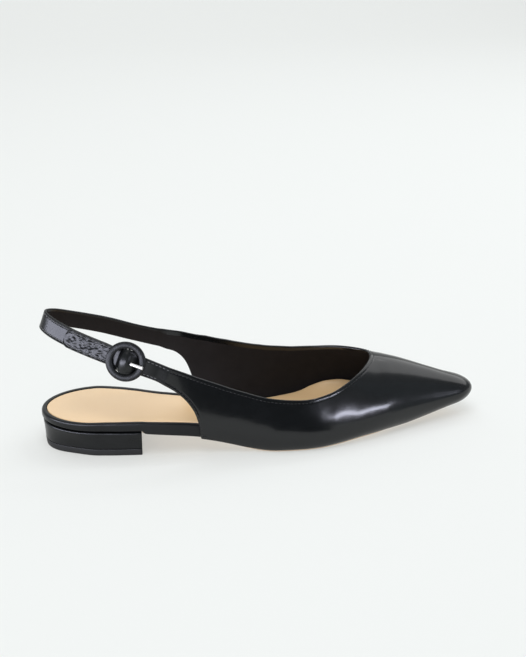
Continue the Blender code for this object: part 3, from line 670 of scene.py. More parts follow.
# Topline of each quarter from the strap root to the middle of the throat, and the back edge from
# the strap root down to the feather edge
TOPLINE = {
    OUTER: Table(
        "row x z",
        [
            (0, 76.5, 55.6),
            (1, 84.5, 51.9),
            (2, 92.0, 48.5),
            (3, 99.5, 45.3),
            (4, 106.5, 42.5),
            (5, 114.0, 39.8),
            (6, 123.0, 36.9),
            (7, 134.0, 33.9),
            (8, 146.0, 31.9),
            (9, 156.5, 31.1),
            (10, 167.5, 32.3),
            (11, 179.5, 36.1),
            (12, 191.5, 40.6),
            (13, 201.0, 44.3),
        ],
    ),
    INNER: Table(
        "row x z",
        [
            (0, 75.9, 56.5),
            (1, 84.0, 55.3),
            (2, 92.5, 53.7),
            (3, 101.0, 51.9),
            (4, 110.0, 50.1),
            (5, 119.0, 47.7),
            (6, 128.0, 45.3),
            (7, 139.0, 42.2),
            (8, 150.0, 40.1),
            (9, 160.0, 39.0),
            (10, 170.0, 39.4),
            (11, 181.0, 41.0),
            (12, 191.5, 42.7),
            (13, 201.0, 44.3),
        ],
    ),
}
BACK_EDGE = {
    OUTER: Table(
        "row x z",
        [
            (0, 71.6, 47.0),
            (1, 78.6, 41.8),
            (2, 84.8, 35.2),
            (3, 89.3, 27.4),
            (4, 91.6, 19.0),
            (5, 92.4, 11.3),
        ],
    ),
    INNER: Table(
        "row x z",
        [
            (0, 72.1, 45.4),
            (1, 79.8, 43.2),
            (2, 87.0, 38.0),
            (3, 92.0, 30.0),
            (4, 94.6, 20.5),
            (5, 95.4, 10.6),
        ],
    ),
}


def last_point(side, share, rise):
    """Point of the upper's outer face: share of the way along the footbed, and of the way up the
    section from the feather edge to the ridge. Each section is one cubic Bezier curve."""
    share, t = np.broadcast_arrays(np.asarray(share, float), np.asarray(rise, float))
    x = station(share)
    edge, normal = footbed_edge(side, share)
    edge = edge + (WALL + GAP) * normal
    feather = np.concatenate([edge, feather_z(edge[..., :1])], -1)
    out = np.concatenate([normal, np.zeros_like(normal[..., :1])], -1)
    up = np.array([0.0, 0.0, 1.0])
    ridge = np.stack([LAST(name, x) for name in ("ridge_x", "ridge_y", "ridge_z")], -1)
    after, before = x + RIDGE_STEP, x - RIDGE_STEP
    climb = LAST("ridge_z", after) - LAST("ridge_z", before)
    slope = climb / (LAST("ridge_x", after) - LAST("ridge_x", before))
    wall = "outer_" if side == OUTER else "inner_"
    sizes = (LAST(wall + size, x)[..., None] for size in ("swell", "rise", "shoulder"))
    swell, height, shoulder = sizes
    swollen = feather + swell * out + height * up
    shouldered = ridge + shoulder * (out + (out[..., 0] * slope)[..., None] * up)
    t = t[..., None]
    return (
        (1 - t) ** 3 * feather
        + 3 * (1 - t) ** 2 * t * swollen
        + 3 * (1 - t) * t**2 * shouldered
        + t**3 * ridge
    )


def rise_at_height(side, share, z):
    """Share of the way up the section at which the wall reaches a height, by halving."""
    low, high = np.zeros_like(share), np.ones_like(share)
    for _ in range(HALVINGS):
        middle = (low + high) / 2
        above = last_point(side, share, middle)[..., 2] > z
        low, high = np.where(above, low, middle), np.where(above, middle, high)
    return (low + high) / 2


def by_length(side, share, rise):
    """A line of (share, rise) on the last, read by the share of its length."""
    steps = np.linalg.norm(np.diff(last_point(side, share, rise), axis=0), axis=1)
    length = np.append(0, np.cumsum(steps)) / steps.sum()
    return lambda t: np.stack([np.interp(t, length, share), np.interp(t, length, rise)], -1)


def edge_lines(side):
    """The four edges of one side of the upper: topline, lower edge, strap root and middle line.
    The lower edge is the back edge and the feather edge; the middle line runs along the ridge
    and down the tip of the toe."""
    row = np.linspace(0, TOPLINE[side].key[-1], 400)
    share = station_share(TOPLINE[side]("x", row))
    rise = rise_at_height(side, share, TOPLINE[side]("z", row))
    rise[-1] = 1
    top = by_length(side, share, rise)
    row = np.linspace(0, BACK_EDGE[side].key[-1], 200)
    share = station_share(BACK_EDGE[side]("x", row))
    rise = rise_at_height(side, share, BACK_EDGE[side]("z", row))
    rise[-1] = 0
    feather = np.linspace(share[-1], 1, 400)[1:]
    low = by_length(side, np.append(share, feather), np.append(rise, 0 * feather))
    ends = np.stack([top(0.0), low(0.0)])
    root = by_length(side, np.linspace(*ends[:, 0], 50), np.linspace(*ends[:, 1], 50))
    ridge = np.linspace(station_share(THROAT), 1, 300)
    tip = np.linspace(1, 0, 100)[1:]
    middle = by_length(side, np.append(ridge, 0 * tip + 1), np.append(0 * ridge + 1, tip))
    return top, low, root, middle


EDGE_LINES = {side: edge_lines(side) for side in (OUTER, INNER)}


def upper_side(side, u, v):
    """Outer face of one side of the upper: u runs along the topline from the strap root to the
    middle of the throat, v from the topline to the lower edge. The four edges are blended as a
    Coons patch in (share, rise), with the root and the middle line fading by a power of u."""
    top, low, root, middle = EDGE_LINES[side]
    u, v = np.broadcast_arrays(u, v)
    near, far = (1 - u)[..., None], (u**MIDDLE_PULL)[..., None]
    down = v[..., None]
    spot = (1 - down) * top(u) + down * low(u)
    spot = spot + near**MIDDLE_PULL * (root(v) - (1 - down) * top(0.0) - down * low(0.0))
    spot = spot + far * (middle(v) - (1 - down) * top(1.0) - down * low(1.0))
    return last_point(side, spot[..., 0], np.clip(spot[..., 1], 0, 1))


def unit(vectors):
    """Vectors divided by their own length."""
    return vectors / np.linalg.norm(vectors, axis=-1, keepdims=True)


def upper_rows(side, u):
    """Grid of one side: rows a fixed step apart beside the topline, then even shares of the rest."""
    start = upper_side(side, u, 0 * u)
    ahead = upper_side(side, u, 0 * u + SMALL_SHARE) - start
    speed = np.linalg.norm(ahead, axis=-1) / SMALL_SHARE
    beside = np.arange(EDGE_ROWS) * EDGE_STEP / speed[:, None]
    rest = np.linspace(0, 1, BODY_ROWS + 1)[1:]
    beyond = beside[:, -1:] + (1 - beside[:, -1:]) * rest
    return upper_side(side, u[:, None], np.concatenate([beside, beyond], axis=1))


def nearest(points, line):
    """Distance from each point of a grid to the nearest of a line's points."""
    gaps = [np.linalg.norm(points - spot, axis=-1) for spot in line]
    return np.min(gaps, axis=0)


def folded_edge(distance):
    """Relief beside a folded and stitched edge: a low bead, then a trough under the stitches."""
    bead = np.exp(-(((distance - BEAD_AT) / BEAD_BREADTH) ** 2))
    trough = np.exp(-(((distance - STITCH_INSET) / TROUGH_BREADTH) ** 2))
    return BEAD_HEIGHT * bead - TROUGH_DEPTH * trough


# Soft folds: station and height of the middle, turn from level in degrees, half length,
# half breadth and height, below 0 for a trough
UPPER_FOLDS = {
    OUTER: [
        (157, 22, 80, 16, 6.0, -0.14),
        (171, 20, 74, 14, 6.5, 0.10),
        (186, 22, 66, 12, 7.0, -0.06),
        (138, 20, 35, 18, 4.5, -0.12),
        (118, 27, 28, 16, 5.0, 0.10),
    ],
    INNER: [
        (160, 26, 98, 15, 6.0, -0.14),
        (173, 24, 104, 14, 6.5, 0.10),
        (140, 26, 150, 18, 5.0, -0.12),
        (118, 34, 155, 16, 5.0, 0.10),
    ],
}


def folds(rows, along, across):
    """Sum of folds: each falls off as a bell along and across its own line."""
    total = np.zeros(np.broadcast(along, across).shape)
    for start, level, turn, length, breadth, height in rows:
        c, s = math.cos(math.radians(turn)), math.sin(math.radians(turn))
        run = c * (along - start) + s * (across - level)
        drift = c * (across - level) - s * (along - start)
        total = total + height * np.exp(-((run / length) ** 2) - (drift / breadth) ** 2)
    return total


along = np.linspace(0, 1, UPPER_COLUMNS)
halves = [upper_rows(OUTER, along), upper_rows(INNER, along)[-2::-1]]
face = np.concatenate(halves)
slope_u, slope_v = np.gradient(face, axis=(0, 1))
outward = unit(np.cross(slope_v, slope_u))
back_rows = np.linspace(0, BACK_SHARE, 90)
back_lines = [upper_side(side, back_rows, 0 * back_rows + 1) for side in (OUTER, INNER)]
near_edge = np.minimum(nearest(face, face[:, 0]), nearest(face, np.concatenate(back_lines)))
folded = [
    folds(UPPER_FOLDS[side], half[..., 0], half[..., 2]) for side, half in zip((OUTER, INNER), halves)
]
relief = np.concatenate(folded) + folded_edge(near_edge)
wall_face = face + relief[..., None] * outward
lining = face - WALL * outward


def edge_arc(points, normals, ahead, reach):
    """Half ellipse over the edge of the wall, from the leather to the lining."""
    tangent = unit(np.gradient(points, axis=0))
    out = np.cross(tangent, normals)
    out = out * np.sign((out * ahead).sum(-1, keepdims=True))
    turn = np.linspace(0, math.pi, ARC_ROWS + 2)[1:-1, None]
    middle = (points - WALL / 2 * normals)[:, None]
    return middle + WALL / 2 * np.cos(turn) * normals[:, None] + reach * np.sin(turn) * out[:, None]


top_arc = edge_arc(face[:, 0], outward[:, 0], -slope_v[:, 0], TOP_ROLL)
low_arc = edge_arc(face[:, -1], outward[:, -1], slope_v[:, -1], LOW_ROLL)
shell = np.concatenate([wall_face, low_arc, lining[:, ::-1], top_arc[:, ::-1]], axis=1)
middle_wall = (face + lining) / 2
low_end = middle_wall[:, -1:].repeat(ARC_ROWS, 1)
top_end = middle_wall[:, :1].repeat(ARC_ROWS, 1)
ends = np.concatenate([middle_wall, low_end, middle_wall[:, ::-1], top_end], axis=1)
shell = np.concatenate([ends[:1], shell, ends[-1:]])
rows = face.shape[1]
place_round = np.arange(shell.shape[1])
lining_start = rows + ARC_ROWS - 1
lining_end = 2 * rows + ARC_ROWS - 3 - TURNED_ROWS
lined = (place_round >= lining_start) & (place_round < lining_end)

POLISH_ROUGHNESS = 0.15


def polished_paint(shade, roughness=POLISH_ROUGHNESS):
    """Polished leather: near black, with slow waves and fine pores in its relief."""
    pores = shade.pores(2300)
    cloud = shade.noise(220, 4)
    waves = shade.noise(60, 2)
    return {
        "Base Color": cloud.mixed(BLACK, BLACK_WORN),
        "Roughness": roughness + cloud * 0.06,
        "Normal": pores.bumped(0.000005, waves.bumped(0.0002)),
    }


LINING_DARK = (0.0130, 0.0112, 0.0112, 1)
LINING_PALE = (0.0210, 0.0185, 0.0185, 1)


def lining_paint(shade):
    """Dark brown lining leather: a matt nap with slow clouds."""
    cloud = shade.noise(130, 4)
    nap = shade.noise(1800, 3)
    return {
        "Base Color": cloud.mixed(LINING_DARK, LINING_PALE),
        "Roughness": 0.62 + nap * 0.2,
        "Normal": nap.bumped(0.00004),
    }


POLISH = {"Specular IOR Level": 0.36, "Coat Weight": 0.15, "Coat Roughness": 0.06}
polished = make_finish("polished_black_leather", POLISH, polished_paint)
dark_lining = make_finish("dark_lining", {"Specular IOR Level": 0.12}, lining_paint)
upper = add_piece("upper_shell", [skin(shell, finish=lined)], [polished, dark_lining])
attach(upper, "root")
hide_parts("upper")

# Edge stitching of the upper. One row of black waxed thread beside the topline and down each back
# edge, machine sewn through leather and lining, each stitch a little sunk at its ends.
STITCH_PITCH = 2.3
STITCH_LENGTH = 1.9
STITCH_RISE, STITCH_ENDS_SUNK = 0.75, 0.4
STITCH_SUNK = 0.12
BACK_STITCHED = (0.012, 0.205)
THREAD = 0.42
THREAD_BLACK = (0.012, 0.012, 0.013, 1)
THREAD_GREY = (0.03, 0.03, 0.032, 1)


def stitch_row(line, normals, rings=7, sides=6):
    """Stitches along a line: each thread comes up by a half sine, and its thickness closes at both
    ends as a half ellipse."""
    steps = np.linalg.norm(np.diff(line, axis=0), axis=1)
    length = np.append(0, np.cumsum(steps))
    count = int(length[-1] / STITCH_PITCH)
    t = np.linspace(0, 1, rings)
    spot = (np.arange(count)[:, None] + 0.5) * length[-1] / count + (t - 0.5) * STITCH_LENGTH

    def read(values):
        return np.stack([np.interp(spot, length, column) for column in values.T], -1)

    centre, normal = read(line), unit(read(normals))
    forward = unit(np.gradient(centre, axis=1))
    across = np.cross(normal, forward)
    lift = THREAD * (STITCH_RISE * np.sin(np.pi * t) - STITCH_ENDS_SUNK)
    centre = centre + lift[:, None] * normal
    radius = THREAD / 2 * np.sqrt(np.clip(1 - (2 * t - 1) ** 2, 0, 1))
    turn = np.linspace(0, 2 * math.pi, sides, endpoint=False)
    ring = np.cos(turn)[:, None] * across[:, :, None] + np.sin(turn)[:, None] * normal[:, :, None]
    tubes = centre[:, :, None] + radius[:, None, None] * ring
    points, faces, finishes = skin(tubes[0])
    shifts = np.arange(count)[:, None, None] * len(points)
    return tubes.reshape(-1, 3), (faces + shifts).reshape(-1, 4), np.tile(finishes, count)


def make_thread(name, dark, pale, roughness, ior):
    """Finish of waxed thread: its twist shows as fine streaks in tone, gloss and relief."""

    def paint(shade):
        twist = shade.noise(5200, 2)
        return {
            "Base Color": twist.mixed(dark, pale),
            "Roughness": roughness + twist * 0.2,
            "Normal": twist.bumped(0.00003),
        }

    return make_finish(name, {"IOR": ior}, paint)


black_thread = make_thread("black_thread", THREAD_BLACK, THREAD_GREY, roughness=0.35, ior=1.45)
stitch_at = round(STITCH_INSET / EDGE_STEP)
rows_sewn = [stitch_row(wall_face[:, stitch_at], outward[:, stitch_at])]
for side in (OUTER, INNER):
    u = np.linspace(*BACK_STITCHED, 200)
    low = upper_side(side, u, 0 * u + 1)
    above = low - upper_side(side, u, 0 * u + 1 - SMALL_SHARE)
    sewn_at = 1 - STITCH_INSET * SMALL_SHARE / np.linalg.norm(above, axis=-1)
    inset = upper_side(side, u, sewn_at)
    ahead = upper_side(side, u + SMALL_SHARE, sewn_at) - inset
    normal = unit(np.cross(low - inset, ahead) * side)
    rows_sewn.append(stitch_row(inset - STITCH_SUNK * normal, normal))
upper_stitches = add_piece("upper_stitches", rows_sewn, [black_thread], sharp=80)
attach(upper_stitches, "root")

# Sling. A narrow strap of the same leather with a dark backing, its edges turned in and stitched.
# It is sewn into the inner quarter, runs round the open heel over a strip of elastic, which ribs
# it at the back, and ends in an eye round the bar of the buckle.
STRAP_WIDTH = 11.2
STRAP_THICKNESS = 1.3
BUCKLE_RADIUS = 11.6
BUCKLE_BAND = 4.1
BUCKLE_THICKNESS = 2.5
BAR_RADIUS = 0.8
STRAP_STITCH_INSET = 1.5
STRAP_FOLD = 1.8
BUCKLE_ROW = 9

# Steps and points of the strap's surface, how it eases into the upper, the stretch of elastic with
# its ribs, and the eye, by lengths along the strap
LOOK_ALONG = 1.5
PATH_STEP = 0.35
FACE_POINTS, ARC_POINTS = 33, 7
TURNED_POINTS = 3
ROOT_BLEND = 8.0
ROOT_FADE = 2.5
ROOT_RUN = 20
ELASTIC_STARTS, ELASTIC_ENDS = (62, 76), (118, 132)
RIB_PITCH, RIB_HEIGHT, RIB_SLANT = 1.3, 0.02, 0.25
RIB_MIDDLE = (2.6, 4.0)
EYE_RUN, EYE_BEND, EYE_BEND_ROUND = 14, 3.6, 3.0
EYE_CLOSES = math.radians(168)
EYE_NARROWING, EYE_NARROWS = 3.6, (-6, -2)
BAR_CLEAR = 6

# Middle line of the sling from the inner root round the heel to the outer root, and how far the
# strap leans in at its top edge, in degrees
SLING_ROWS = Table(
    "row x y z lean",
    [
        (1, 58.0, 26.6, 56.8, 7.0),
        (2, 40.0, 22.6, 64.3, 10.0),
        (3, 22.5, 16.2, 71.2, 14.0),
        (4, 10.0, 9.3, 76.4, 18.0),
        (5, 4.6, 0.3, 78.8, 20.0),
        (6, 10.0, -9.0, 76.4, 18.0),
        (7, 22.5, -16.8, 71.4, 15.0),
        (8, 39.5, -23.7, 65.3, 14.0),
        (9, 51.2, -27.4, 61.3, 14.0),
        (10, 62.0, -29.9, 57.5, 10.0),
    ],
)


def strap_root(side):
    """Middle of a strap's root in the wall of its quarter, its lean, and its width there."""
    top, low, _, _ = EDGE_LINES[side]
    edges = np.stack([last_point(side, *line(0.0)) for line in (low, top)])
    across = edges[1] - edges[0]
    width = np.linalg.norm(across)
    middle = edges.mean(axis=0) - (0, side * WALL / 2, 0)
    return np.append(middle, -side * np.degrees(np.arcsin(across[1] / width))), width


inner_root, inner_width = strap_root(INNER)
outer_root, outer_width = strap_root(OUTER)
sling_rows = np.stack([SLING_ROWS.values[name] for name in ("x", "y", "z", "lean")], -1)
sling_rows = np.concatenate([[inner_root], sling_rows, [outer_root]])
sling_keys = np.linspace(0, len(sling_rows) - 1, 1200)
sling_line = smooth(np.arange(len(sling_rows)), sling_rows, sling_keys, keep_between=False)
sling_steps = np.linalg.norm(np.diff(sling_line[:, :3], axis=0), axis=1)
sling_length = np.append(0, np.cumsum(sling_steps))
buckle_at = np.interp(BUCKLE_ROW, sling_keys, sling_length)


def sling_at(u):
    """Point, forward, across and outward directions at a length along the sling's middle line,
    which runs straight on past its ends. Across is upright, leant in by the line's own lean."""

    def read(s):
        return np.stack([np.interp(s, sling_length, column) for column in sling_line.T], -1)

    held = np.clip(u, 0, sling_length[-1])
    ahead = np.minimum(held + LOOK_ALONG, sling_length[-1])
    behind = np.maximum(held - LOOK_ALONG, 0)
    forward = unit((read(ahead) - read(behind))[..., :3])
    inward = unit(np.cross([0.0, 0.0, 1.0], forward))
    upright = np.cross(forward, inward)
    lean = np.radians(read(held)[..., 3:])
    across = np.cos(lean) * upright + np.sin(lean) * inward
    point = read(held)[..., :3] + (u - held)[..., None] * forward
    return point, forward, across, np.cross(forward, across)


def rounded_path(corners, radii, step=0.3):
    """Points of a line through corners, each rounded with an arc of its radius."""
    corners = [np.array(corner, float) for corner in corners]
    path = [corners[:1]]
    for before, corner, after, radius in zip(corners, corners[1:], corners[2:], radii):
        a, b = unit(before - corner), unit(after - corner)
        half = math.acos(np.clip(a @ b, -1, 1)) / 2
        reach = radius / math.tan(half)
        centre = corner + unit(a + b) * radius / math.sin(half)
        start, end = corner + a * reach - centre, corner + b * reach - centre
        turn = math.atan2(start[0] * end[1] - start[1] * end[0], start @ end)
        angle = np.linspace(0, turn, max(4, math.ceil(abs(turn) * radius / step)))[:, None]
        quarter = np.array([-start[1], start[0]])
        path.append(centre + np.cos(angle) * start + np.sin(angle) * quarter)
    path.append(corners[-1:])
    return np.concatenate(path)


def even_path(path, step):
    """The same path with points no further apart than the step."""
    legs = zip(path, path[1:])
    counts = [max(1, math.ceil(np.linalg.norm(b - a) / step)) for a, b in legs]
    runs = [
        a + (b - a) * (np.arange(1, count + 1) / count)[:, None]
        for a, b, count in zip(path, path[1:], counts)
    ]
    return np.concatenate([path[:1], *runs])


def root_loops(column):
    """Section of the upper's wall at a column, with as many points as a strap's section."""
    spots = np.linspace(0, len(wall_face[0]) - 1, FACE_POINTS)

    def even(points):
        rows = np.arange(len(points))
        return np.stack([np.interp(spots, rows, values) for values in points.T], -1)

    outside, inside = even(wall_face[column]), even(lining[column])
    return np.concatenate([outside, low_arc[column], inside[::-1], top_arc[column][::-1]])


def strap_skin(path, width, relief, root, root_columns):
    """Skin of a strap carried along a path of (length along the sling line, height off it), and the
    frame for its stitches. Its section is a flat band with half-round edges; relief lifts both
    faces, and the outer face has a bead and a trough beside each stitched edge. Towards its root
    the strap eases into the wall of the upper, run on from there while its spread fades."""
    point, _, across, outward = sling_at(path[:, 0])
    middle = point + path[:, 1:] * outward
    forward = unit(np.gradient(middle, axis=0))
    across = unit(across - (across * forward).sum(-1, keepdims=True) * forward)
    normal = np.cross(forward, across)
    sheet = STRAP_THICKNESS / 2
    half = np.broadcast_to(width, path[:, 0].shape)[:, None] / 2
    flat = np.linspace(1, -1, FACE_POINTS)
    arc = np.linspace(0, math.pi, ARC_POINTS + 2)[1:-1]
    place = np.concatenate([flat, 0 * arc - 1, flat[::-1], 0 * arc + 1])
    bulge = np.concatenate([0 * flat, -np.sin(arc), 0 * flat, np.sin(arc)])
    lift = np.concatenate([0 * flat + 1, np.cos(arc), 0 * flat - 1, -np.cos(arc)])
    offset = place * (half - sheet) + sheet * bulge
    edged = STRAP_FOLD * folded_edge(half - np.abs(offset) + STITCH_INSET - STRAP_STITCH_INSET)
    spots = np.arange(len(place))
    height = sheet * lift + relief(path[:, :1], offset) + np.where(spots < FACE_POINTS, edged, 0)
    loops = middle[:, None] + offset[..., None] * across[:, None] + height[..., None] * normal[:, None]
    wall, behind = (root_loops(column) for column in root_columns)
    run_on = (wall - behind) / np.linalg.norm(wall.mean(axis=0) - behind.mean(axis=0))
    straight_on = run_on.mean(axis=0)
    from_root = np.abs(path[:, 0] - root)[:, None, None]
    fading = ROOT_FADE * (1 - np.exp(-from_root / ROOT_FADE))
    own = ramp(from_root, 0, ROOT_BLEND)
    on_wall = wall + from_root * straight_on + fading * (run_on - straight_on)
    loops = own * loops + (1 - own) * on_wall
    line = (loops + loops[:, ::-1]) / 2
    loops = np.concatenate([line[:1], loops, line[-1:]])
    backing_start = FACE_POINTS + ARC_POINTS
    backing_end = 2 * FACE_POINTS + ARC_POINTS - 1 - TURNED_POINTS
    backed = (spots >= backing_start) & (spots < backing_end)
    return skin(loops, finish=backed), (middle, across, normal, half, sheet)


def strap_stitches(path, frame, relief, first, last):
    """A row of stitches beside each edge of a strap, between two lengths along the sling line."""
    middle, across, normal, half, sheet = frame
    kept = (path[:, 0] > first) & (path[:, 0] < last)
    sewn = []
    for edge in (1, -1):
        offset = edge * (half - STRAP_STITCH_INSET)
        height = sheet - STITCH_SUNK + relief(path[:, :1], offset)
        line = middle + offset * across + height * normal
        sewn.append(stitch_row(line[kept], normal[kept]))
    return sewn


def sling_relief(u, offset):
    """Cross ribs where the elastic gathers the sling behind the heel: a sine along the strap, which
    fades at its stitched edges and towards both sides."""
    back = ramp(u, *ELASTIC_STARTS) * (1 - ramp(u, *ELASTIC_ENDS))
    middle = 1 - ramp(np.abs(offset), *RIB_MIDDLE)
    return RIB_HEIGHT * back * middle * np.sin(u * 2 * math.pi / RIB_PITCH + RIB_SLANT * offset)


front_level = STRAP_THICKNESS + GAP
ring_level = front_level + STRAP_THICKNESS / 2 + GAP + BUCKLE_THICKNESS / 2
eye = BAR_RADIUS + GAP + STRAP_THICKNESS / 2
pitch = math.atan2(ring_level, EYE_BEND) - math.asin(eye / math.hypot(ring_level, EYE_BEND))
turns = np.linspace(pitch - math.pi / 2, EYE_CLOSES, 28)
eye_path = np.stack([buckle_at + eye * np.cos(turns), ring_level + eye * np.sin(turns)], -1)
eye_corners = [(buckle_at - EYE_RUN, 0), (buckle_at - EYE_BEND, 0), eye_path[0]]
eye_slope = rounded_path(eye_corners, [EYE_BEND_ROUND])
sling_body = even_path(np.array([(0.0, 0.0), (buckle_at - EYE_RUN, 0.0)]), PATH_STEP)
sling_path = np.concatenate([sling_body, eye_slope[1:], eye_path[1:]])
root_share = np.clip(1 - sling_path[:, 0] / ROOT_RUN, 0, 1)
sling_width = STRAP_WIDTH + (inner_width - STRAP_WIDTH) * root_share
sling_width -= EYE_NARROWING * ramp(sling_path[:, 0] - buckle_at, *EYE_NARROWS)

sling_skin, sling_frame = strap_skin(sling_path, sling_width, sling_relief, 0.0, (-1, -2))

# The straps are polished less than the upper
STRAP_ROUGHNESS = 0.27
STRAP_POLISH = {"Specular IOR Level": 0.36}
strap_leather = make_finish(
    "strap_leather_finish", STRAP_POLISH, lambda shade: polished_paint(shade, STRAP_ROUGHNESS)
)
sling = add_piece("sling_band", [sling_skin], [strap_leather, dark_lining])
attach(sling, "root")
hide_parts("sling_strap")

# Its thread is the same waxed thread, with a painted highlight: its colour is made paler than the
# upper's so that it stands in for the glints of light on the stitches along both edges
STRAP_THREAD_PAINTED_GLINT = (0.11, 0.11, 0.115, 1)
STRAP_THREAD_PAINTED_GLINT_PALE = (0.26, 0.26, 0.275, 1)
strap_thread_painted_glint = make_thread("strap_thread_painted_glint", STRAP_THREAD_PAINTED_GLINT, STRAP_THREAD_PAINTED_GLINT_PALE, roughness=0.3, ior=1.5)
sling_sewn = strap_stitches(sling_path, sling_frame, sling_relief, 0, buckle_at - BAR_CLEAR)
sling_stitches = add_piece("sling_stitches", sling_sewn, [strap_thread_painted_glint], sharp=80)
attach(sling_stitches, "root")

# Buckle strap. It leaves the outer quarter, passes under the ring, over the bar in a tight hump
# and under the ring again. Its free end lies on the sling and is crinkled from being pulled
# through the buckle.
FREE_END = 37.8
TIP_ROUND = 3.5
TIP_CLEAR = 3
FREE_TWIST = 0.25
CRINKLE_STARTS, CRINKLE_ENDS = (0.5, 3.0), (23, 30)
CRINKLE_EDGES, EDGE_CALM = (3.8, 5.0), 0.75
DOME_WIDENING, DOME_WIDE_REACH = 3.6, 6.5
DOME_CROWN, DOME_CROWN_REACH = 1.5, 4.6
STEEP, GENTLE = math.radians(70), math.radians(46)
HUMP_FOOT_ROUND = 1.5
DROP_STARTS, DROP_ENDS, DROP_ROUND = 13, 21, 30
WIDENS_FROM = 8

# Creases of the free end: place along it from the tip, place across, turn from the
# strap's run in degrees, half length, half breadth and height, below 0 for a trough
CREASES = [
    (3.6, 1.6, 62, 2.6, 0.9, -0.17),
    (5.0, -1.6, 40, 2.8, 1.0, 0.16),
    (6.8, 0.8, 55, 3.4, 0.9, 0.18),
    (8.6, 2.4, 30, 3.0, 0.9, -0.17),
    (10.0, -0.8, 48, 3.6, 1.0, -0.20),
    (11.8, 1.6, 64, 3.0, 0.9, 0.18),
    (12.8, -2.4, 15, 3.2, 0.9, 0.16),
    (14.2, 0.4, 34, 3.8, 0.9, -0.20),
    (15.8, 2.6, 22, 3.0, 0.8, 0.16),
    (16.8, -1.4, 52, 3.0, 0.9, 0.18),
    (18.6, 1.0, 28, 4.0, 0.9, -0.18),
    (20.0, -2.2, 16, 3.4, 0.8, -0.16),
    (21.4, 1.8, 40, 3.2, 0.9, 0.17),
    (23.0, -0.4, 20, 4.0, 0.8, 0.15),
    (24.6, 2.2, 12, 3.4, 0.8, -0.14),
    (26.0, -1.8, 10, 3.6, 0.8, -0.14),
]

# Small crumples between the creases: direction in degrees, wavelength and height of each, how far
# their lines sway and how fast along and across the strap, and how sharp the facets are
CRUMPLES = [
    (62, 3.3, 0.07),
    (-48, 2.4, 0.05),
    (18, 4.4, 0.08),
    (84, 2.1, 0.035),
    (-12, 3.6, 0.05),
]
SWAY, SWAY_ALONG, SWAY_ACROSS = 0.9, 0.55, 0.8
FACETED = 0.97


def in_dome(u, reach):
    """1 round the bar, where the strap is squeezed up through the ring, falling off steeply."""
    return np.exp(-(((u - buckle_at) / reach) ** 4))


def crumpled(u, offset):
    """Sum of folded waves, each the arc sine of a sine, so that the leather breaks into facets."""
    total = np.zeros(np.broadcast(u, offset).shape)
    for turn, wavelength, height in CRUMPLES:
        run = u * math.cos(math.radians(turn)) + offset * math.sin(math.radians(turn))
        sway = SWAY * np.sin(SWAY_ALONG * u + SWAY_ACROSS * offset + turn)
        wave = np.sin(2 * math.pi * run / wavelength + sway)
        total = total + height * np.arcsin(FACETED * wave)
    return total * 2 / math.pi


def front_relief(u, offset):
    """Creases and crumples of the free end, its lower edge twisted away from the sling, and the
    rounded crown of the hump over the bar."""
    across = offset / (STRAP_WIDTH / 2)
    crown = DOME_CROWN * in_dome(u, DOME_CROWN_REACH) * across**2
    from_end = u - (buckle_at - FREE_END)
    free = 1 - ramp(from_end, *CRINKLE_ENDS)
    pulled = ramp(from_end, *CRINKLE_STARTS) * free
    inside = 1 - EDGE_CALM * ramp(np.abs(offset), *CRINKLE_EDGES)
    crinkled = pulled * inside * (folds(CREASES, from_end, offset) + crumpled(u, offset))
    return crinkled + free * FREE_TWIST * (1 - across) - crown


hump = eye + STRAP_THICKNESS + GAP
drop = ring_level - front_level
foot_back = (hump + drop * math.cos(STEEP)) / math.sin(STEEP)
foot_front = (hump + drop * math.cos(GENTLE)) / math.sin(GENTLE)
peak = hump / math.cos((STEEP + GENTLE) / 2)
peak_lean = (GENTLE - STEEP) / 2
hump_path = rounded_path(
    [
        (buckle_at - FREE_END, front_level),
        (buckle_at - foot_back, front_level),
        (buckle_at + peak * math.sin(peak_lean), ring_level + peak * math.cos(peak_lean)),
        (buckle_at + foot_front, front_level),
        (buckle_at + DROP_STARTS, front_level),
        (buckle_at + DROP_ENDS, 0),
        (sling_length[-1], 0),
    ],
    [HUMP_FOOT_ROUND, hump, HUMP_FOOT_ROUND, DROP_ROUND, DROP_ROUND],
)
tip = buckle_at - FREE_END + TIP_ROUND * (1 - np.cos(np.linspace(0, math.pi / 2, 14)))
tip_path = np.stack([tip, np.full_like(tip, front_level)], -1)
front_path = even_path(np.concatenate([tip_path[-1:], hump_path[1:]]), PATH_STEP)
front_path = np.concatenate([tip_path, front_path[1:]])
widens_at = buckle_at + WIDENS_FROM
to_root = np.clip((front_path[:, 0] - widens_at) / (sling_length[-1] - widens_at), 0, 1)
front_width = STRAP_WIDTH + (outer_width - STRAP_WIDTH) * to_root**0.5
from_tip = np.clip(1 - (front_path[:, 0] - tip[0]) / TIP_ROUND, 0, 1)
front_width -= 2 * TIP_ROUND * (1 - np.sqrt(1 - from_tip**2))
front_width += DOME_WIDENING * in_dome(front_path[:, 0], DOME_WIDE_REACH)

front_skin, front_frame = strap_skin(front_path, front_width, front_relief, sling_length[-1], (0, 1))
front = add_piece("buckle_strap", [front_skin], [strap_leather, dark_lining])
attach(front, "root")
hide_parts("front_strap")
sewn_stretches = [
    (buckle_at - FREE_END + TIP_CLEAR, buckle_at - BAR_CLEAR),
    (buckle_at + BAR_CLEAR, sling_length[-1]),
]
front_sewn = []
for first, last in sewn_stretches:
    front_sewn += strap_stitches(front_path, front_frame, front_relief, first, last)
front_stitches = add_piece("buckle_strap_stitches", front_sewn, [strap_thread_painted_glint], sharp=80)
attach(front_stitches, "root")

# Buckle. A round ring of flattened section, covered in satin black, with a bar across its middle
# that the eye of the sling holds.
RING_SQUARENESS = 0.95
BAR_ENDS = 0.99
buckle_frame = sling_at(np.array([buckle_at]))
buckle_point, buckle_forward, buckle_across, buckle_out = (value[0] for value in buckle_frame)
buckle_middle = buckle_point + ring_level * buckle_out


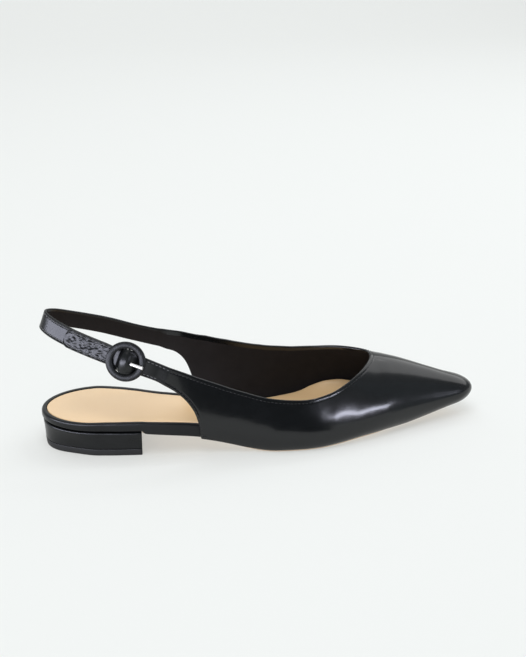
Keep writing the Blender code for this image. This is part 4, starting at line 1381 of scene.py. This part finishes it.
def buckle_place(along, across, out):
    """Points in the buckle's own frame: along the strap, across it and out from the foot."""
    return (
        buckle_middle
        + along[..., None] * buckle_forward
        + across[..., None] * buckle_across
        + out[..., None] * buckle_out
    )


def softened(wave):
    """A sine or cosine squared off towards a flat band."""
    return np.sign(wave) * np.abs(wave) ** RING_SQUARENESS


round_ring = np.linspace(0, 2 * math.pi, 97)[:, None]
round_band = np.linspace(0, 2 * math.pi, 28, endpoint=False)
ring_radius = BUCKLE_RADIUS - BUCKLE_BAND / 2 + BUCKLE_BAND / 2 * softened(np.cos(round_band))
ring_out = BUCKLE_THICKNESS / 2 * softened(np.sin(round_band)) + 0 * round_ring
ring = buckle_place(ring_radius * np.cos(round_ring), ring_radius * np.sin(round_ring), ring_out)
along_bar = np.linspace(-1, 1, 9)[:, None]
round_bar = np.linspace(0, 2 * math.pi, 16, endpoint=False)
bar_radius = BAR_RADIUS * (np.abs(along_bar) < BAR_ENDS)
bar = buckle_place(
    bar_radius * np.cos(round_bar),
    along_bar * (BUCKLE_RADIUS - BUCKLE_BAND / 2) + 0 * round_bar,
    -bar_radius * np.sin(round_bar),
)


def cover_paint(shade):
    """Black cover drawn over the ring: satin, with faint unevenness."""
    cloud = shade.noise(420, 3)
    return {
        "Base Color": cloud.mixed(BLACK, BLACK_WORN),
        "Roughness": 0.34 + cloud * 0.16,
        "Normal": cloud.bumped(0.00008),
    }


buckle_cover = make_finish("black_buckle_cover", {"Specular IOR Level": 0.3}, cover_paint)
buckle = add_piece("buckle_ring", [skin(ring), skin(bar)], [buckle_cover], sharp=60)
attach(buckle, "root")
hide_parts("buckle_frame")

# Prong. A short pin of polished nickel-plated wire, curled round the bar, through the hole in the
# buckle strap, with its rounded tip resting on the ring.
PRONG_RADIUS = 0.7
PRONG_STEP = 0.4
PRONG_BROADER = 1.35
CURL_STARTS, CURL_ENDS = 280, 90
TIP_SHORT, TIP_RISE = 0.6, 0.1
prong_lift = BAR_RADIUS + GAP + PRONG_RADIUS
tip_lift = BUCKLE_THICKNESS / 2 + GAP + PRONG_RADIUS
curl = np.radians(np.linspace(CURL_STARTS, CURL_ENDS, 30))
curled = np.stack([prong_lift * np.cos(curl), prong_lift * np.sin(curl)], -1)
on_ring = (BUCKLE_RADIUS - BUCKLE_BAND / 2, tip_lift)
prong_tip = (BUCKLE_RADIUS - TIP_SHORT, tip_lift + TIP_RISE)
straight = even_path(np.array([curled[-1], on_ring, prong_tip]), PRONG_STEP)
prong_route = np.concatenate([curled, straight[1:]])
prong_run = unit(np.gradient(prong_route, axis=0))
prong_steps = np.append(0, np.cumsum(np.linalg.norm(np.diff(prong_route, axis=0), axis=1)))
to_end = np.minimum(prong_steps, prong_steps[-1] - prong_steps) / PRONG_RADIUS
prong_radius = (PRONG_RADIUS * np.sqrt(1 - (1 - np.clip(to_end, 0, 1)) ** 2))[:, None]
round_prong = np.linspace(0, 2 * math.pi, 20, endpoint=False)
prong_up = prong_radius * np.sin(round_prong)
prong = buckle_place(
    prong_route[:, :1] - prong_run[:, 1:] * prong_up,
    -PRONG_BROADER * prong_radius * np.cos(round_prong),
    prong_route[:, 1:] + prong_run[:, :1] * prong_up,
)


def nickel_paint(shade):
    """Bright plating with a faint haze in its gloss."""
    haze = shade.noise(500, 2)
    return {"Roughness": 0.22 + haze * 0.1}


NICKEL = (0.78, 0.77, 0.76, 1)
nickel = make_finish("nickel_plate", {"Base Color": NICKEL, "Metallic": 1.0}, nickel_paint)
pin = add_piece("prong_pin", [skin(prong)], [nickel], sharp=60)
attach(pin, "root")
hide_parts("buckle_prong")

# Studio. A pale matt floor that sweeps up into a backdrop and glows a little, so that shadows stay
# pale. Dark cards, soft boxes and a camera, which looks down on the outer side, complete it.
FLOOR_PALE = (0.37, 0.39, 0.395, 1)
FLOOR_GLOW = (1.0, 0.99, 0.95, 1)
FLOOR_FRONT, FLOOR_SIDE = -3.0, 4.0
SWEEP_BACK, SWEEP_RADIUS, SWEEP_TOP = 1.6, 0.9, 3.0
sweep_turn = np.linspace(0, math.pi / 2, 24)
curve_y = SWEEP_BACK + SWEEP_RADIUS * np.sin(sweep_turn)
curve_z = SWEEP_RADIUS * (1 - np.cos(sweep_turn))
sweep_y = np.concatenate([[FLOOR_FRONT, 0.0], curve_y, curve_y[-1:]])
sweep_z = np.concatenate([[0.0, 0.0], curve_z, [SWEEP_TOP]])
sweep_x = np.linspace(-FLOOR_SIDE, FLOOR_SIDE, 3)[:, None]
sweep = np.stack(np.broadcast_arrays(sweep_x, sweep_y, sweep_z), -1)


def floor_paint(shade):
    """Pale painted floor: a hardly visible stipple in its roughness."""
    stipple = shade.noise(300, 2)
    return {"Roughness": 0.6 + stipple * 0.1}


FLOOR_SHEET = {
    "Base Color": FLOOR_PALE,
    "Specular IOR Level": 0.0,
    "Emission Color": FLOOR_GLOW,
    "Emission Strength": 0.45,
}
floor_finish = make_finish("pale_floor", FLOOR_SHEET, floor_paint)
floor = add_piece("floor", [skin(sweep / MM - SHOE_PLACE, wrapped=False)], [floor_finish])

# Two dark cards stand in front of the shoe, below the camera: the place along the shoe and the grey
# of each. Only reflections see them, and they keep the polished outer side and the toe dark.
CARD_Y, CARD_Z = -0.11, (0.0, 0.25)
CARD_TINT = (1.0, 1.1, 1.2)
CARDS = {"side_card": ((-0.035, 0.08), 0.08), "toe_card": ((0.19, 0.42), 0.3)}
for name, (ends, grey) in CARDS.items():
    card_x, card_z = np.array(ends)[:, None], np.array(CARD_Z)
    card_grid = np.stack(np.broadcast_arrays(card_x, CARD_Y, card_z), -1)
    card_sheet = {"Base Color": (*(grey * tint for tint in CARD_TINT), 1), "Roughness": 1.0}
    card_finish = make_finish(name + "_paint", card_sheet, lambda shade: {})
    card = add_piece(name, [skin(card_grid / MM - SHOE_PLACE, wrapped=False)], [card_finish])
    card.visible_camera = False
    card.visible_diffuse = False
    card.visible_shadow = False

# Soft boxes: where each hangs and what it looks at, in metres, its breadth and height, its roll in
# degrees, its power, its tint, and whether all surfaces, only gloss or only matt ones answer to it
WHITE, COOL = (1.0, 1.0, 1.0), (0.82, 0.84, 1.0)
SOFT_BOXES = {
    "key": ((-0.25, -0.7, 1.5), (0.0, 0.0, 0.0), (1.2, 1.0), 0, 12.0, WHITE, "matt"),
    "overhead": ((-0.2, 0.0, 1.7), (-0.05, 0.0, 0.0), (1.3, 1.0), 0, 7.0, WHITE, "all"),
    "backdrop": ((0.0, 1.2, 2.2), (0.0, 2.3, 0.6), (3.0, 0.8), 0, 22.0, WHITE, "all"),
    "back_right": ((1.09, 0.52, 1.12), (0.05, 0.0, 0.03), (1.3, 1.2), 0, 9.0, WHITE, "all"),
    "front_right": ((1.0, -1.07, 0.32), (0.05, -0.03, 0.02), (0.5, 0.1), 20, 4.6, COOL, "gloss"),
    "front_left": ((-0.45, -0.31, 0.09), (-0.09, -0.03, 0.07), (0.85, 0.2), 0, 6.0, COOL, "gloss"),
}
for name, (spot, target, size, turn, power, tint, answer) in SOFT_BOXES.items():
    box = bpy.data.lights.new(name, "AREA")
    box.shape = "RECTANGLE"
    box.size, box.size_y = size
    box.energy = power
    box.color = tint
    lamp = bpy.data.objects.new(name, box)
    bpy.context.scene.collection.objects.link(lamp)
    lamp.location = spot
    lamp.visible_camera = False
    lamp.visible_diffuse = answer != "gloss"
    lamp.visible_glossy = answer != "matt"
    aim = Vector(target) - Vector(spot)
    lamp.rotation_euler = aim.to_track_quat("-Z", "Y").to_euler()
    lamp.rotation_euler.rotate_axis("Z", math.radians(turn))

# A cool grey world fills in what the soft boxes leave
WORLD_GREY, WORLD_STRENGTH = (0.92, 0.97, 1.0, 1), 0.34
world = bpy.data.worlds.new("studio")
world.use_nodes = True
world.node_tree.nodes["Background"].inputs["Color"].default_value = WORLD_GREY
world.node_tree.nodes["Background"].inputs["Strength"].default_value = WORLD_STRENGTH
bpy.context.scene.world = world
bpy.context.scene.view_settings.view_transform = "Standard"

# The camera's place in the shoe's own frame, its turns in radians, and its focal length in pixels of
# an image of this height
CAMERA_AT = np.array([37.715, -643.29, 325.84])
CAMERA_YAW, CAMERA_PITCH = 0.1485, 0.38113
FOCAL_PIXELS, IMAGE_HEIGHT = 1166.76, 657
SENSOR = 36.0
camera_lens = bpy.data.cameras.new("camera")
camera_lens.sensor_width = SENSOR
camera_lens.lens = FOCAL_PIXELS * SENSOR / IMAGE_HEIGHT
camera = bpy.data.objects.new("camera", camera_lens)
bpy.context.scene.collection.objects.link(camera)
camera.location = (CAMERA_AT + SHOE_PLACE) * MM
camera.rotation_euler = (math.pi / 2 - CAMERA_PITCH, 0, -CAMERA_YAW)
bpy.context.scene.camera = camera
